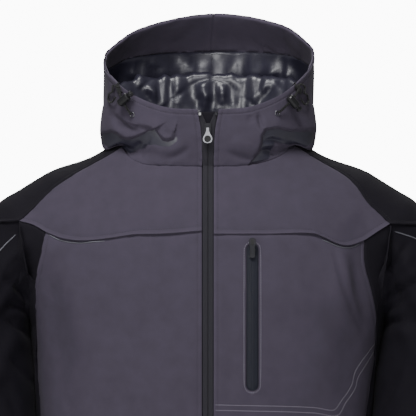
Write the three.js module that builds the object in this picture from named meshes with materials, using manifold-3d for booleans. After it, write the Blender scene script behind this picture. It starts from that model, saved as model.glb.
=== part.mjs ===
// Hooded softshell jacket in its hollow, worn form.
// Millimetres, +Z up, front towards -Y. The origin is the middle of the neck hole at side-neck height.
import * as THREE from 'three';
import Module from 'manifold-3d';

const wasm = await Module();
wasm.setup();

// Driving dimensions
const CLOTH = 1.6; // wall of the bonded shell cloth
const LINING = 1.2; // wall of the hood lining and facing
const SEAM = 0.17; // each panel stops this short of its seam line
const PUFF = 3.2; // height of the quilting in the hood
const LIP = 1.0; // extra thickness of the yoke along its lower edge
const HEM = -720;
const CUFF = -640;
const TAPE = 1.1; // zip tape thickness
const TAPE_SINK = 0.5; // zip tape lies this far under the shell's outer face
const FLAP_HALF = 17; // storm flap half width
const SLIDER_Z = 28; // middle of the main slider
// Rings of the pull tabs: distance of the middle from the hinge, half width, half width and height of the hole
const MAIN_RING = { middle: 13.4, outer: 6.4, inner: 4.4, high: 4.4 };
const POCKET_RING = { middle: 13.4, outer: 4.9, inner: 2.9, high: 4.2 };
const POCKET = { left: 49.6, right: 65.8, top: -122, bottom: -313 };

// Torso sections: height, centre, half width, depth to front and back, squareness
const TORSO = [
  { z: 45, mid: 0, half: 70, front: 40, back: 58, square: 2.1 },
  { z: 20, mid: 0, half: 108, front: 66, back: 80, square: 2.1 },
  { z: 0, mid: 0, half: 137, front: 78, back: 92, square: 2.1 },
  { z: -21, mid: 0, half: 175, front: 88, back: 100, square: 2.1 },
  { z: -40, mid: 0, half: 203, front: 101, back: 107, square: 2.1 },
  { z: -62, mid: 0, half: 224, front: 113, back: 112, square: 2.15 },
  { z: -90, mid: 0, half: 239, front: 124, back: 117, square: 2.25 },
  { z: -125, mid: 0, half: 245, front: 132, back: 121, square: 2.35 },
  { z: -180, mid: 0, half: 240, front: 139, back: 122, square: 2.4 },
  { z: -235, mid: -2, half: 228, front: 141, back: 118, square: 2.4 },
  { z: -300, mid: -4, half: 221, front: 140, back: 112, square: 2.4 },
  { z: -380, mid: -6, half: 217, front: 136, back: 106, square: 2.4 },
  { z: -480, mid: -6, half: 213, front: 133, back: 107, square: 2.4 },
  { z: -600, mid: -5, half: 217, front: 136, back: 114, square: 2.4 },
  { z: -740, mid: -4, half: 225, front: 141, back: 120, square: 2.4 },
];

// Arm axis: side distance of the left and right sleeve, y, z and radius; sleeves are deeper than wide
const ARM = [
  { left: 188, right: 188, y: 6, z: -80, r: 46 },
  { left: 236, right: 236, y: 5, z: -112, r: 54 },
  { left: 277, right: 275, y: 1, z: -158, r: 59 },
  { left: 295.5, right: 292, y: -5, z: -225, r: 59 },
  { left: 287.5, right: 279.5, y: -12, z: -300, r: 58 },
  { left: 283, right: 272.5, y: -22, z: -360, r: 57 },
  { left: 281, right: 271, y: -34, z: -450, r: 55 },
  { left: 286, right: 276, y: -50, z: -550, r: 52 },
  { left: 290, right: 282, y: -66, z: -660, r: 48 },
];
const ARM_DEPTH = 1.18;
const ARMPIT = { left: 232.3, right: 228.8 }; // side distance of the armhole seam under the arm

// Large folds: a stretch from one point to another, its half width, height, side of the garment
const FOLDS = [
  { ax: 238, az: -118, bx: 300, bz: -210, wide: 9, high: 5, face: -1 },
  { ax: 240, az: -150, bx: 318, bz: -262, wide: 10, high: 5, face: -1 },
  { ax: 238, az: -195, bx: 306, bz: -330, wide: 11, high: 5, face: -1 },
  { ax: -238, az: -120, bx: -305, bz: -215, wide: 9, high: 5, face: -1 },
  { ax: -240, az: -158, bx: -322, bz: -270, wide: 10, high: 5, face: -1 },
  { ax: -236, az: -205, bx: -300, bz: -345, wide: 11, high: 4, face: -1 },
  { ax: 200, az: -150, bx: 176, bz: -300, wide: 20, high: -4, face: -1 },
  { ax: 168, az: -126, bx: 190, bz: -240, wide: 16, high: 4, face: -1 },
  { ax: -204, az: -160, bx: -186, bz: -330, wide: 22, high: -3, face: -1 },
  { ax: 20, az: -470, bx: 190, bz: -420, wide: 26, high: 5, face: -1 },
  { ax: -30, az: -520, bx: -196, bz: -450, wide: 26, high: 5, face: -1 },
  { ax: 236, az: -130, bx: 300, bz: -250, wide: 12, high: 5, face: 1 },
  { ax: -238, az: -140, bx: -304, bz: -260, wide: 12, high: 5, face: 1 },
  { ax: -150, az: -130, bx: -60, bz: -330, wide: 26, high: 5, face: 1 },
  { ax: 150, az: -140, bx: 70, bz: -350, wide: 28, high: 5, face: 1 },
  { ax: -170, az: -440, bx: 150, bz: -470, wide: 30, high: 6, face: 1 },
  { ax: 318, az: -420, bx: 246, bz: -455, wide: 14, high: 5, face: -1 },
  { ax: -322, az: -430, bx: -256, bz: -470, wide: 14, high: 5, face: -1 },
  { ax: 322, az: -540, bx: 250, bz: -575, wide: 15, high: 4, face: -1 },
  { ax: -330, az: -552, bx: -256, bz: -590, wide: 15, high: 4, face: -1 },
];

// Seam lines seen from the front, as [distance from the centre, height]
const LINES = {
  left: {
    neck: [[8, -21], [45, -20], [82, -18], [101, -10], [113, 5]],
    shoulder: [[113, 5], [124, -3], [149, -17], [183, -36], [204, -51], [218, -65], [232, -79], [246, -92]],
    yoke: [[8, -105], [61, -109], [96, -110], [131, -115], [166, -118], [192, -114], [212, -106]],
    yokeTail: [[212, -106], [228, -97], [246, -92]],
    side: [[212, -106], [218, -131], [222, -160], [222, -213], [219, -256], [216, -300], [213, -346],
      [205, -450], [206, -560], [212, HEM]],
  },
  right: {
    neck: [[7.4, -21], [40, -20], [66, -17], [90, -9], [114, 7]],
    shoulder: [[114, 7], [142, -11], [169, -27], [186, -39], [197, -52], [208, -68], [222, -81], [237, -96]],
    yoke: [[7.4, -109], [79, -109], [138, -109], [151, -114], [169, -122], [183, -124], [204, -117]],
    yokeTail: [[204, -117], [221, -106], [237, -96]],
    side: [[204, -117], [208, -150], [212, -184], [214, -220], [211, -270], [207, -305], [202, -346],
      [196, -450], [197, -560], [204, HEM]],
  },
};
const SHOULDER_BACK = [[104, 52, 6], [150, 46, -18], [190, 50, -44], [222, 62, -72], [242, 70, -94]];
const NECK_BACK = [[104, 52, 6], [86, 70, 9], [56, 84, 12], [28, 90, 14], [0, 92, 15]];
const SIDE_BACK = [[217, -205], [204, -260], [193, -350], [187, -450], [188, -580], [194, HEM]];
const YOKE_STEPS = 7;
const SHOULDER_STEPS = 6;
const UNDERARM = 9; // the back and side panels meet at this step of the armhole

// Hood sections from the zip round to the middle of the back; around is the share of the way
const HOOD = [
  { around: 0, low: [7.6, -90, -11], roll: [8, -91, -1], crest: [8, -92, 9], drop: [8.6, -93, 19],
    pouch: [9.6, -93, 29], back: [11, -93, 37], high: [12.5, -93, 45], rim: [14, -93, 53] },
  { around: 0.2, low: [60, -84, -7], roll: [61, -87, 3], crest: [61, -89, 13], drop: [61, -90, 23],
    pouch: [61, -91, 32], back: [60, -91, 41], high: [59, -91, 49], rim: [58, -90, 57] },
  { around: 0.38, low: [101, -58, 2], roll: [105, -62, 12], crest: [107, -65, 23], drop: [107, -68, 34],
    pouch: [106, -70, 45], back: [105, -71, 56], high: [103, -71, 66], rim: [101, -70, 75] },
  { around: 0.52, low: [123, -22, 14], roll: [134, -25, 13], crest: [139, -27, 30], drop: [137, -30, 46],
    pouch: [133, -32, 60], back: [131, -34, 74], high: [131, -36, 87], rim: [130, -38, 99] },
  { around: 0.62, low: [124, 14, 18], roll: [132, 15, 23], crest: [137, 13, 38], drop: [137, 10, 55],
    pouch: [135, 7, 71], back: [135, 4, 88], high: [135, 2, 101], rim: [135, -2, 111] },
  { around: 0.69, low: [112, 40, 28], roll: [112, 43, 50], crest: [114, 46, 67], drop: [119, 50, 62],
    pouch: [129, 60, 50], back: [138.5, 62, 66], high: [137, 46, 100], rim: [134, 24, 121] },
  { around: 0.76, low: [108, 62, 34], roll: [110, 65, 62], crest: [114, 70, 85], drop: [120, 82, 56],
    pouch: [129, 107, 14], back: [139, 120, 52], high: [135, 94, 104], rim: [130, 54, 134] },
  { around: 0.88, low: [60, 90, 38], roll: [61, 93, 66], crest: [66, 99, 92], drop: [74, 114, 60],
    pouch: [84, 142, 0], back: [100, 160, 50], high: [99, 142, 118], rim: [90, 102, 161] },
  { around: 1, low: [0, 97, 38], roll: [0, 99, 68], crest: [0, 104, 95], drop: [0, 120, 60],
    pouch: [0, 152, -12], back: [0, 188, 44], high: [0, 184, 122], rim: [0, 142, 176] },
];
const CORD = 3; // elastic cord diameter
const HOOD_STACK = 0.6; // air between the hood's shell and its lining
const HOOD_ROWS = 16;
const FACING_ROWS = 2;

// Cord adjusters: eyelet, middle of the lock, tab at the hood's edge, as [distance from centre, height]
const ADJUSTERS = {
  left: { eyelet: [98, 46], lock: [106, 62], loop: [110, 70], tab: [113, 76], edge: [116, 81] },
  right: { eyelet: [90, 48], lock: [104, 63], loop: [112, 74], tab: [117, 81], edge: [122, 88] },
};

// Materials
const shell = cloth('shell_grey', 0x4d4a56);
const black = cloth('shell_black', 0x222126);
const satin = cloth('lining_satin', 0x3c3d46);
const tapeCloth = cloth('zip_tape', 0x1d1c20);
const navy = cloth('pocket_tape', 0x1a1c2a);
const silver = metal('silver', 0xb9babf);
const reflective = cloth('reflective', 0xb8bac0);
const rubber = cloth('insert_black', 0x141416);
const plastic = cloth('lock_plastic', 0x17171a);
const white = cloth('stop_white', 0xd8d8da);

function cloth(name, color) {
  return new THREE.MeshStandardMaterial({ name, color, roughness: 0.85, metalness: 0 });
}

function metal(name, color) {
  return new THREE.MeshStandardMaterial({ name, color, roughness: 0.3, metalness: 1 });
}

// Vectors
const add = (a, b, k = 1) => [a[0] + b[0] * k, a[1] + b[1] * k, a[2] + b[2] * k];
const sub = (a, b) => add(a, b, -1);
const dot = (a, b) => a[0] * b[0] + a[1] * b[1] + a[2] * b[2];
const unit = (a) => {
  const length = Math.hypot(...a) || 1;
  return a.map((c) => c / length);
};
const cross = (a, b) => [a[1] * b[2] - a[2] * b[1], a[2] * b[0] - a[0] * b[2], a[0] * b[1] - a[1] * b[0]];
const mix = (a, b, t) => add(a, sub(b, a), t);
const clamp = (v, lo, hi) => Math.min(hi, Math.max(lo, v));
const mirror = (p, s) => [p[0] * s, p[1], p[2]];

// A smooth value of a table's column at a place along its key
function column(rows, key, name, at) {
  const rising = rows[1][key] > rows[0][key] ? 1 : -1;
  let i = 0;
  while (i < rows.length - 2 && (rows[i + 1][key] - at) * rising < 0) i += 1;
  const [a, b] = [rows[i], rows[i + 1]];
  const t = clamp((at - a[key]) / (b[key] - a[key]), 0, 1);
  const before = rows[Math.max(0, i - 1)];
  const after = rows[Math.min(rows.length - 1, i + 2)];
  const span = b[key] - a[key];
  const m0 = ((b[name] - before[name]) / (b[key] - before[key])) * span;
  const m1 = ((after[name] - a[name]) / (after[key] - a[key])) * span;
  const [t2, t3] = [t * t, t * t * t];
  return (2 * t3 - 3 * t2 + 1) * a[name] + (t3 - 2 * t2 + t) * m0
    + (3 * t2 - 2 * t3) * b[name] + (t3 - t2) * m1;
}

// The garment's form: negative inside, about a distance near its surface
function torso(p) {
  const z = clamp(p[2], -740, 45);
  const [mid, half, square] = ['mid', 'half', 'square'].map((name) => column(TORSO, 'z', name, z));
  const depth = column(TORSO, 'z', p[1] < 0 ? 'front' : 'back', z);
  const across = Math.abs((p[0] - mid) / half) ** square;
  const deep = Math.abs(p[1] / depth) ** square;
  return ((across + deep) ** (1 / square) - 1) * Math.min(half, depth) + Math.max(0, p[2] - 45);
}

function arm(p, side) {
  const s = side === 'left' ? -1 : 1;
  let best = 1e9;
  for (let i = 0; i < ARM.length - 1; i += 1) {
    const [a, b] = [ARM[i], ARM[i + 1]];
    const from = [a[side] * s, a.y / ARM_DEPTH, a.z];
    const line = sub([b[side] * s, b.y / ARM_DEPTH, b.z], from);
    const q = sub([p[0], p[1] / ARM_DEPTH, p[2]], from);
    const t = clamp(dot(q, line) / dot(line, line), 0, 1);
    best = blend(best, Math.hypot(...sub(q, line.map((c) => c * t))) - (a.r + (b.r - a.r) * t), 2);
  }
  return best;
}

function blend(a, b, k) {
  const h = Math.max(k - Math.abs(a - b), 0) / k;
  return Math.min(a, b) - (h * h * k) / 4;
}

function folds(p) {
  let sum = 0;
  for (const f of FOLDS) {
    const [dx, dz] = [f.bx - f.ax, f.bz - f.az];
    const t = clamp(((p[0] - f.ax) * dx + (p[2] - f.az) * dz) / (dx * dx + dz * dz), 0, 1);
    const far = Math.hypot(p[0] - f.ax - dx * t, p[2] - f.az - dz * t) / f.wide;
    const face = clamp((p[1] * f.face) / 30, 0, 1);
    sum += f.high * Math.exp(-far * far) * face * Math.sin(Math.PI * clamp(t * 0.8 + 0.1, 0, 1));
  }
  return sum;
}

// Away moves the torso or the arm back by some distance, to follow the other one alone
const TOGETHER = { torso: 0, arm: 0 };

function form(p, away = TOGETHER) {
  const side = p[0] < 0 ? 'left' : 'right';
  const join = 0.6 + 40 * clamp((p[2] + 228) / 80, 0, 1);
  return blend(torso(p) + away.torso, arm(p, side) + away.arm, join) - folds(p);
}

function slope(p, away) {
  const e = 0.25;
  return [0, 1, 2].map((i) => {
    const step = [0, 0, 0];
    step[i] = e;
    return (form(add(p, step), away) - form(add(p, step, -1), away)) / (2 * e);
  });
}

function settle(p, away = TOGETHER) {
  let q = p;
  for (let i = 0; i < 12; i += 1) {
    const g = slope(q, away);
    q = add(q, g, -clamp(form(q, away) / Math.max(dot(g, g), 0.2), -12, 12));
  }
  return q;
}

// First crossing of the form on a ray from a point inside it
function cast(from, way, away = TOGETHER) {
  let [near, far] = [0, 0];
  while (far < 400 && form(add(from, way, far), away) < 0) {
    near = far;
    far += 4;
  }
  for (let i = 0; i < 24; i += 1) {
    const half = (near + far) / 2;
    if (form(add(from, way, half), away) < 0) near = half;
    else far = half;
  }
  return add(from, way, (near + far) / 2);
}

function spline(points, steps) {
  const curve = new THREE.CatmullRomCurve3(points.map((p) => new THREE.Vector3(...p)), false, 'centripetal');
  return curve.getSpacedPoints(steps).map((p) => p.toArray());
}

// A seam given as seen from the front or back, laid on the form
function onFace(line, s, steps, face) {
  return spline(line.map(([x, z]) => [x * s, 0, z]), steps).map(([x, , z]) => {
    const start = [x, 0, z];
    return form(start) < 0 ? cast(start, [0, face, 0]) : settle([x, face * 30, z]);
  });
}

// Seams, one set a side, shared by the panels that meet there
function seamsOf(side) {
  const s = side === 'left' ? -1 : 1;
  const lines = LINES[side];
  const set = {};
  set.neck = onFace(lines.neck, s, YOKE_STEPS + 2, -1);
  set.shoulder = onFace(lines.shoulder, s, SHOULDER_STEPS, -1);
  set.yoke = onFace(lines.yoke, s, YOKE_STEPS, -1);
  set.tail = onFace(lines.yokeTail, s, 2, -1);
  set.side = onFace(lines.side, s, 12, -1);
  set.shoulderBack = spline(SHOULDER_BACK.map((p) => mirror(p, s)), SHOULDER_STEPS).map((p) => settle(p));
  set.neckBack = spline(NECK_BACK.map((p) => mirror(p, s)), 5).map((p) => settle(p));
  set.tail[0] = set.yoke[YOKE_STEPS];
  set.side[0] = set.yoke[YOKE_STEPS];
  set.tail[2] = set.shoulder[SHOULDER_STEPS];
  set.shoulder[0] = set.neck[YOKE_STEPS + 2];
  set.neckSide = neckSide(set.neck[YOKE_STEPS + 2], set.shoulderBack[0], s);
  set.neckBack[0] = set.shoulderBack[0];
  const ends = [set.shoulder[SHOULDER_STEPS], set.shoulderBack[SHOULDER_STEPS]];
  set.cap = capLine(...ends, s);
  set.armhole = armhole(...ends, s);
  const start = set.armhole[UNDERARM];
  set.sideBack = onFace([[Math.abs(start[0]), start[2]], ...SIDE_BACK], s, 12, 1);
  set.sideBack[0] = start;
  return set;
}

function neckSide(front, back, s) {
  const top = [119 * s, 14, 8];
  const line = spline([front, top, back], 6).map((p) => settle(p));
  line[0] = front;
  line[6] = back;
  return line;
}

// The line where the black shoulder panel ends, round the outside of the arm
function capLine(front, back, s) {
  const middle = [238 * s, (front[1] + back[1]) / 2, -97];
  const line = [];
  for (let i = 0; i <= 6; i += 1) {
    const turn = Math.PI * (i / 6 - 0.5);
    const ends = mix(front, back, i / 6);
    const level = [middle[0], middle[1], ends[2] - 3 * Math.sin((Math.PI * i) / 6)];
    line.push(cast(level, [Math.cos(turn) * s, Math.sin(turn), 0]));
  }
  line[0] = front;
  line[6] = back;
  return line;
}

// The armhole seam, from the front end of the cap line under the arm to its back end
function armhole(front, back, s) {
  const line = [];
  const steps = 12;
  const middle = [(s < 0 ? ARMPIT.left : ARMPIT.right) * s, 0, -140];
  const angleOf = (p) => Math.atan2(p[1] - middle[1], -(p[2] - middle[2]));
  const [from, to] = [angleOf(front), angleOf(back)];
  for (let i = 0; i <= steps; i += 1) {
    const turn = from + ((to - from) * i) / steps;
    const near = clamp(Math.min(i, steps - i) / 3, 0, 1);
    const end = i < steps / 2 ? front : back;
    const x = end[0] + (middle[0] - end[0]) * near;
    line.push(cast([x, middle[1], middle[2]], [0, Math.sin(turn), -Math.cos(turn)]));
  }
  line[0] = front;
  line[steps] = back;
  return line;
}

// A patch between four seams that share their corners, laid on the form
function patch(bottom, top, left, right, awayAt = () => TOGETHER) {
  const [across, up] = [bottom.length - 1, left.length - 1];
  const rows = [];
  for (let j = 0; j <= up; j += 1) {
    const v = j / up;
    const row = [];
    for (let i = 0; i <= across; i += 1) {
      const u = i / across;
      const ruled = add(mix(bottom[i], top[i], v), mix(left[j], right[j], u));
      const corners = mix(mix(bottom[0], bottom[across], u), mix(top[0], top[across], u), v);
      const border = i === 0 || i === across || j === 0 || j === up;
      const p = sub(ruled, corners);
      row.push(border ? p : settle(p, awayAt(v)));
    }
    rows.push(row);
  }
  return rows;
}

const normal = (p, away) => unit(slope(p, away));

// Border points drawn back from the seam, then a wall of cloth inside the form
function panel(name, rows, material, { ring = false, thick = () => 0, awayAt = () => TOGETHER } = {}) {
  const last = rows.length - 1;
  const onBorder = (j, i, row) => j === 0 || j === last || (!ring && (i === 0 || i === row.length - 1));
  const awayOf = (j, i, row) => (onBorder(j, i, row) ? (ring ? awayAt(j / last) : TOGETHER) : awayAt(j / last));
  const normals = rows.map((row, j) => row.map((p, i) => normal(p, awayOf(j, i, row))));
  const inset = insetBorder(rows, normals, ring);
  const outer = inset.map((row, j) => row.map((p, i) => add(p, normals[j][i], thick(j, i))));
  const inner = inset.map((row, j) => row.map((p, i) => add(p, normals[j][i], -CLOTH)));
  return wall(name, outer, inner, material, ring);
}

// Border points moved into the panel, square to the border and along the cloth
function insetBorder(rows, normals, ring, by = SEAM) {
  const last = rows.length - 1;
  const end = rows[0].length - 1;
  const at = (j, i) => rows[clamp(j, 0, last)][ring ? (i + end + 1) % (end + 1) : clamp(i, 0, end)];
  const into = (p, n, tangent, inside) => {
    const way = unit(cross(n, tangent));
    return way.map((c) => c * Math.sign(dot(way, sub(inside, p)) || 1));
  };
  return rows.map((row, j) => row.map((p, i) => {
    let q = p;
    const n = normals[j][i];
    if (j === 0) q = add(q, into(p, n, sub(at(j, i + 1), at(j, i - 1)), at(2, i)), by);
    if (j === last) q = add(q, into(p, n, sub(at(j, i + 1), at(j, i - 1)), at(last - 2, i)), by);
    if (!ring && i === 0) q = add(q, into(p, n, sub(at(j + 1, i), at(j - 1, i)), at(j, 2)), by);
    if (!ring && i === end) q = add(q, into(p, n, sub(at(j + 1, i), at(j - 1, i)), at(j, end - 2)), by);
    return q;
  }));
}

// A closed body between two grids of points; a ring joins its last column to its first
function wall(name, outer, inner, material, ring = false) {
  const count = outer[0].length;
  const layer = outer.length * count;
  const points = [...outer.flat(), ...inner.flat()];
  const at = (j, i, deep) => j * count + (i % count) + deep * layer;
  const faces = [];
  const quad = (a, b, c, d) => faces.push([a, b, c], [a, c, d]);
  const spans = ring ? count : count - 1;
  for (let j = 0; j < outer.length - 1; j += 1) {
    for (let i = 0; i < spans; i += 1) {
      quad(at(j, i, 0), at(j, i + 1, 0), at(j + 1, i + 1, 0), at(j + 1, i, 0));
      quad(at(j, i, 1), at(j + 1, i, 1), at(j + 1, i + 1, 1), at(j, i + 1, 1));
    }
    if (!ring) {
      quad(at(j, 0, 0), at(j + 1, 0, 0), at(j + 1, 0, 1), at(j, 0, 1));
      quad(at(j, spans, 0), at(j, spans, 1), at(j + 1, spans, 1), at(j + 1, spans, 0));
    }
  }
  const last = outer.length - 1;
  for (let i = 0; i < spans; i += 1) {
    quad(at(0, i, 0), at(0, i, 1), at(0, i + 1, 1), at(0, i + 1, 0));
    quad(at(last, i, 0), at(last, i + 1, 0), at(last, i + 1, 1), at(last, i, 1));
  }
  return meshOf(name, points, faces, material);
}

function meshOf(name, points, faces, material) {
  const [a0, b0, c0] = [0, 1, 2].map((k) => (face) => points[face[k]]);
  const volume = faces.reduce((sum, f) => sum + dot(a0(f), cross(b0(f), c0(f))), 0);
  const index = faces.flatMap((f) => (volume < 0 ? [f[0], f[2], f[1]] : f));
  const geometry = new THREE.BufferGeometry();
  geometry.setAttribute('position', new THREE.Float32BufferAttribute(points.flat(), 3));
  geometry.setIndex(index);
  geometry.computeVertexNormals();
  const mesh = new THREE.Mesh(geometry, material);
  mesh.name = name;
  return mesh;
}

// Body panels
function zipEdge(side, from, to, steps) {
  const s = side === 'left' ? -1 : 1;
  const x = LINES[side].neck[0][0];
  return onFace([[x, from], [x, (from + to) / 2], [x, to]], s, steps, -1);
}

function hemLine(from, to, steps, middle) {
  const line = middle ? spline([from, ...middle, to], steps).map((p) => settle(p)) : spline([from, to], steps).map((p) => settle(p));
  return line.map((p, i) => (i === 0 ? from : i === steps ? to : [p[0], p[1], HEM]));
}

function frontGrid(side, seams) {
  const s = side === 'left' ? -1 : 1;
  const zipLow = zipEdge(side, LINES[side].yoke[0][1], HEM, 12);
  zipLow[0] = seams.yoke[0];
  const hemFront = hemLine(zipLow[12], seams.side[12], YOKE_STEPS, [[s * 110, -132, HEM]]);
  return patch(hemFront, seams.yoke, zipLow.toReversed(), seams.side.toReversed());
}

function bodyPanels(side, seams) {
  const s = side === 'left' ? -1 : 1;
  const zipHigh = zipEdge(side, LINES[side].yoke[0][1], LINES[side].neck[0][1], SHOULDER_STEPS);
  zipHigh[0] = seams.yoke[0];
  zipHigh[SHOULDER_STEPS] = seams.neck[0];
  const yokeBottom = [...seams.yoke, ...seams.tail.slice(1)];
  const yoke = patch(yokeBottom, seams.neck, zipHigh, seams.shoulder.toReversed());
  const shoulderRows = patch(seams.cap, seams.neckSide, seams.shoulder.toReversed(), seams.shoulderBack.toReversed());
  const sideTop = [...seams.tail, ...seams.armhole.slice(1, UNDERARM + 1)];
  const hemSide = hemLine(seams.side[12], seams.sideBack[12], sideTop.length - 1, [[s * 221 - 4, 0, HEM]]);
  const torsoOnly = (v) => ({ torso: 0, arm: 60 * clamp((1 - v) * 4, 0, 1) });
  const sideRows = patch(hemSide, sideTop, seams.side.toReversed(), seams.sideBack.toReversed(), torsoOnly);
  return [
    panel(`front_${side}`, frontGrid(side, seams), shell),
    panel(`yoke_${side}`, yoke, shell, { thick: (j) => (j === 0 ? LIP : j === 1 ? LIP / 2 : 0) }),
    panel(`shoulder_${side}`, shoulderRows, black),
    panel(`side_${side}`, sideRows, black, { awayAt: torsoOnly }),
  ];
}

function backPanel(left, right) {
  const top = [...left.shoulderBack.toReversed(), ...left.neckBack.slice(1),
    ...right.neckBack.toReversed().slice(1), ...right.shoulderBack.slice(1)];
  const hem = hemLine(left.sideBack[12], right.sideBack[12], top.length - 1, [[-100, 112, HEM], [100, 112, HEM]]);
  const edge = (set) => [...set.sideBack.toReversed(), ...set.armhole.slice(UNDERARM + 1)];
  return panel('back', patch(hem, top, edge(left), edge(right)), shell);
}

const armOnly = (v) => ({ torso: 60 * clamp(v * 4, 0, 1), arm: 0 });

// Sleeve: a tube from the loop of cap line and armhole down to the cuff
function sleeveGrid(side, seams) {
  const s = side === 'left' ? -1 : 1;
  const loop = [...seams.cap, ...seams.armhole.toReversed().slice(1, -1)];
  const axis = (z) => [column(ARM, 'z', side, clamp(z, -660, -158)) * s, column(ARM, 'z', 'y', clamp(z, -660, -158)), z];
  const starts = loop.map((p) => {
    const c = axis(p[2]);
    return Math.atan2((p[1] - c[1]) / ARM_DEPTH, (p[0] - c[0]) * s);
  });
  const rows = [];
  const count = 12;
  for (let j = 0; j <= count; j += 1) {
    const t = (j / count) ** 1.15;
    rows.push(loop.map((p, i) => {
      if (j === 0) return p;
      const z = p[2] + (CUFF - p[2]) * t;
      const even = starts[0] + (2 * Math.PI * i) / loop.length;
      const begin = i > loop.length / 2 && starts[i] < 0 ? starts[i] + 2 * Math.PI : starts[i];
      const turn = begin + (even - begin) * clamp(t * 1.5, 0, 1);
      return armPoint(axis(z), turn, s, armOnly(j / count));
    }));
  }
  return rows;
}

function armPoint(centre, turn, s, away) {
  const way = unit([Math.cos(turn) * s, Math.sin(turn) * ARM_DEPTH, 0]);
  return cast(centre, way, away);
}

// Hood
function hoodSection(base, around, s, rows) {
  const names = ['low', 'roll', 'crest', 'drop', 'pouch', 'back', 'high', 'rim'];
  const track = names.map((name) => [0, 1, 2].map((axis) => {
    const table = HOOD.map((row) => ({ around: row.around, value: row[name][axis] }));
    const before = table.at(-2);
    table.push({ around: 2 - before.around, value: before.value * (axis === 0 ? -1 : 1) });
    return column(table, 'around', 'value', around);
  }));
  const points = [base, ...track.map((p) => lean(mirror(p, s), around))];
  const curve = new THREE.CatmullRomCurve3(points.map((p) => new THREE.Vector3(...p)), false, 'centripetal');
  return curve.getPoints(rows).map((p) => p.toArray());
}

// The hood's rim sits a little to one side and higher there
function lean(p, around) {
  const up = clamp(p[2] / 170, 0, 1);
  const behind = clamp((around - 0.5) * 2, 0, 1);
  return [p[0] + 8 * up * up * behind, p[1], p[2] + 0.02 * p[0] * up];
}

function neckLoop(seams) {
  const loop = [...seams.neck, ...seams.neckSide.slice(1), ...seams.neckBack.slice(1)];
  let length = 0;
  const lengths = loop.map((p, i) => {
    if (i > 0) length += Math.hypot(...sub(p, loop[i - 1]));
    return length;
  });
  return loop.map((p, i) => {
    const beside = clamp((Math.abs(p[0]) - 95) / 15, 0, 1);
    return { p: add(p, [0, 0, 1], 0.5 + 1.5 * beside), around: lengths[i] / length };
  });
}

function hoodGrid(side, seams) {
  const s = side === 'left' ? -1 : 1;
  const columns = neckLoop(seams).map(({ p, around }) => hoodSection(p, around, s, HOOD_ROWS));
  return Array.from({ length: HOOD_ROWS + 1 }, (_, j) => columns.map((c) => c[j]));
}

function gridNormals(rows, flip) {
  return rows.map((row, j) => row.map((p, i) => {
    const along = sub(row[Math.min(i + 1, row.length - 1)], row[Math.max(i - 1, 0)]);
    const up = sub(rows[Math.min(j + 1, rows.length - 1)][i], rows[Math.max(j - 1, 0)][i]);
    return unit(cross(along, up)).map((c) => c * flip);
  }));
}

// How much farther a point moves at a bend so that the cloth beside it keeps its distance
function mitre(rows, normals, j, i) {
  const at = (a, b) => rows[clamp(a, 0, rows.length - 1)][clamp(b, 0, rows[0].length - 1)];
  let least = 1;
  for (const [dj, di] of [[1, 1], [1, -1], [-1, 1], [-1, -1]]) {
    const across = sub(at(j, i + di), at(j, i));
    const up = sub(at(j + dj, i), at(j, i));
    const face = cross(across, up);
    if (Math.hypot(...face) > 0.1) least = Math.min(least, Math.abs(dot(unit(face), normals[j][i])));
  }
  return 1 / clamp(least, 0.6, 1);
}

function hoodParts(seams) {
  const [left, right] = ['left', 'right'].map((side) => hoodGrid(side, seams[side]));
  const whole = left.map((row, j) => [...row, ...right[j].toReversed().slice(1)]);
  const facing = gridNormals(whole, -1);
  const middle = left[0].length - 1;
  const shells = [['left', 0, middle], ['right', middle, 2 * middle]].map(([side, from, to]) => {
    const normals = facing.map((row) => row.slice(from, to + 1));
    const outer = insetBorder(whole.map((row) => row.slice(from, to + 1)), normals, false);
    const inner = outer.map((row, j) => row.map((p, i) => add(p, normals[j][i], -CLOTH)));
    return wall(`hood_${side}`, outer, inner, shell);
  });
  const split = HOOD_ROWS - FACING_ROWS;
  const apart = (j, i) => -(CLOTH + HOOD_STACK) * mitre(whole, facing, j, i);
  const back = whole.map((row, j) => row.map((p, i) => add(p, facing[j][i], apart(j, i))));
  const clear = (out, j, i) => add(whole[j][i], facing[j][i], out * mitre(whole, facing, j, i));
  const room = wall('room', whole.map((row, j) => row.map((p, i) => clear(0.4, j, i))),
    whole.map((row, j) => row.map((p, i) => clear(-CLOTH - 0.3, j, i))), shell);
  const shifts = [-0.1, 0.1].flatMap((d) => [[d, 0, 0], [0, d, 0], [0, 0, d]]);
  const cutter = shells.flatMap((m) => shifts.map((by) => solid(m).translate(by)))
    .reduce((sum, moved) => sum.add(moved), solid(room));
  const lining = trimmed(layerOf('hood_lining', back, facing, 1, split, satin, PUFF), cutter);
  return [...shells, lining, layerOf('hood_facing', back, facing, split, HOOD_ROWS, shell, 0)];
}

// A mesh without what it shares with a solid; its largest body is kept
function trimmed(mesh, cutter) {
  const bodies = solid(mesh).subtract(cutter).decompose();
  const largest = bodies.reduce((a, b) => (a.volume() > b.volume() ? a : b));
  return meshFrom(mesh.name, largest, mesh.material);
}

// A layer on the inside of the hood; the lining is puffed between its quilting lines
function layerOf(name, back, normals, from, to, material, puff) {
  const rows = insetBorder(back.slice(from, to + 1), normals.slice(from, to + 1), false, 0.3);
  const room = (p) => clamp((118 - Math.abs(p[0])) / 12, 0, 1) * clamp((p[1] - 60) / 20, 0, 1);
  const raised = (j, i) => (j % 2 === 1 && i % 2 === 1 && j < rows.length - 1 ? puff * room(rows[j][i]) : 0);
  const inside = rows.map((row, j) => row.map((p, i) => add(p, normals[from + j][i], -LINING - raised(j, i))));
  return wall(name, rows, inside, material);
}

// Front closure: y of the garment's face along the zip, on the collar and below it
const COLLAR_FACE = [[-21, -88], [-11, -90], [-1, -91], [9, -92], [19, -93], [53, -93]];
const COLLAR_EDGE = [[-21, 7.5], [-1, 8], [19, 8.6], [29, 9.6], [37, 11], [45, 12.5], [53, 14]];

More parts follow.
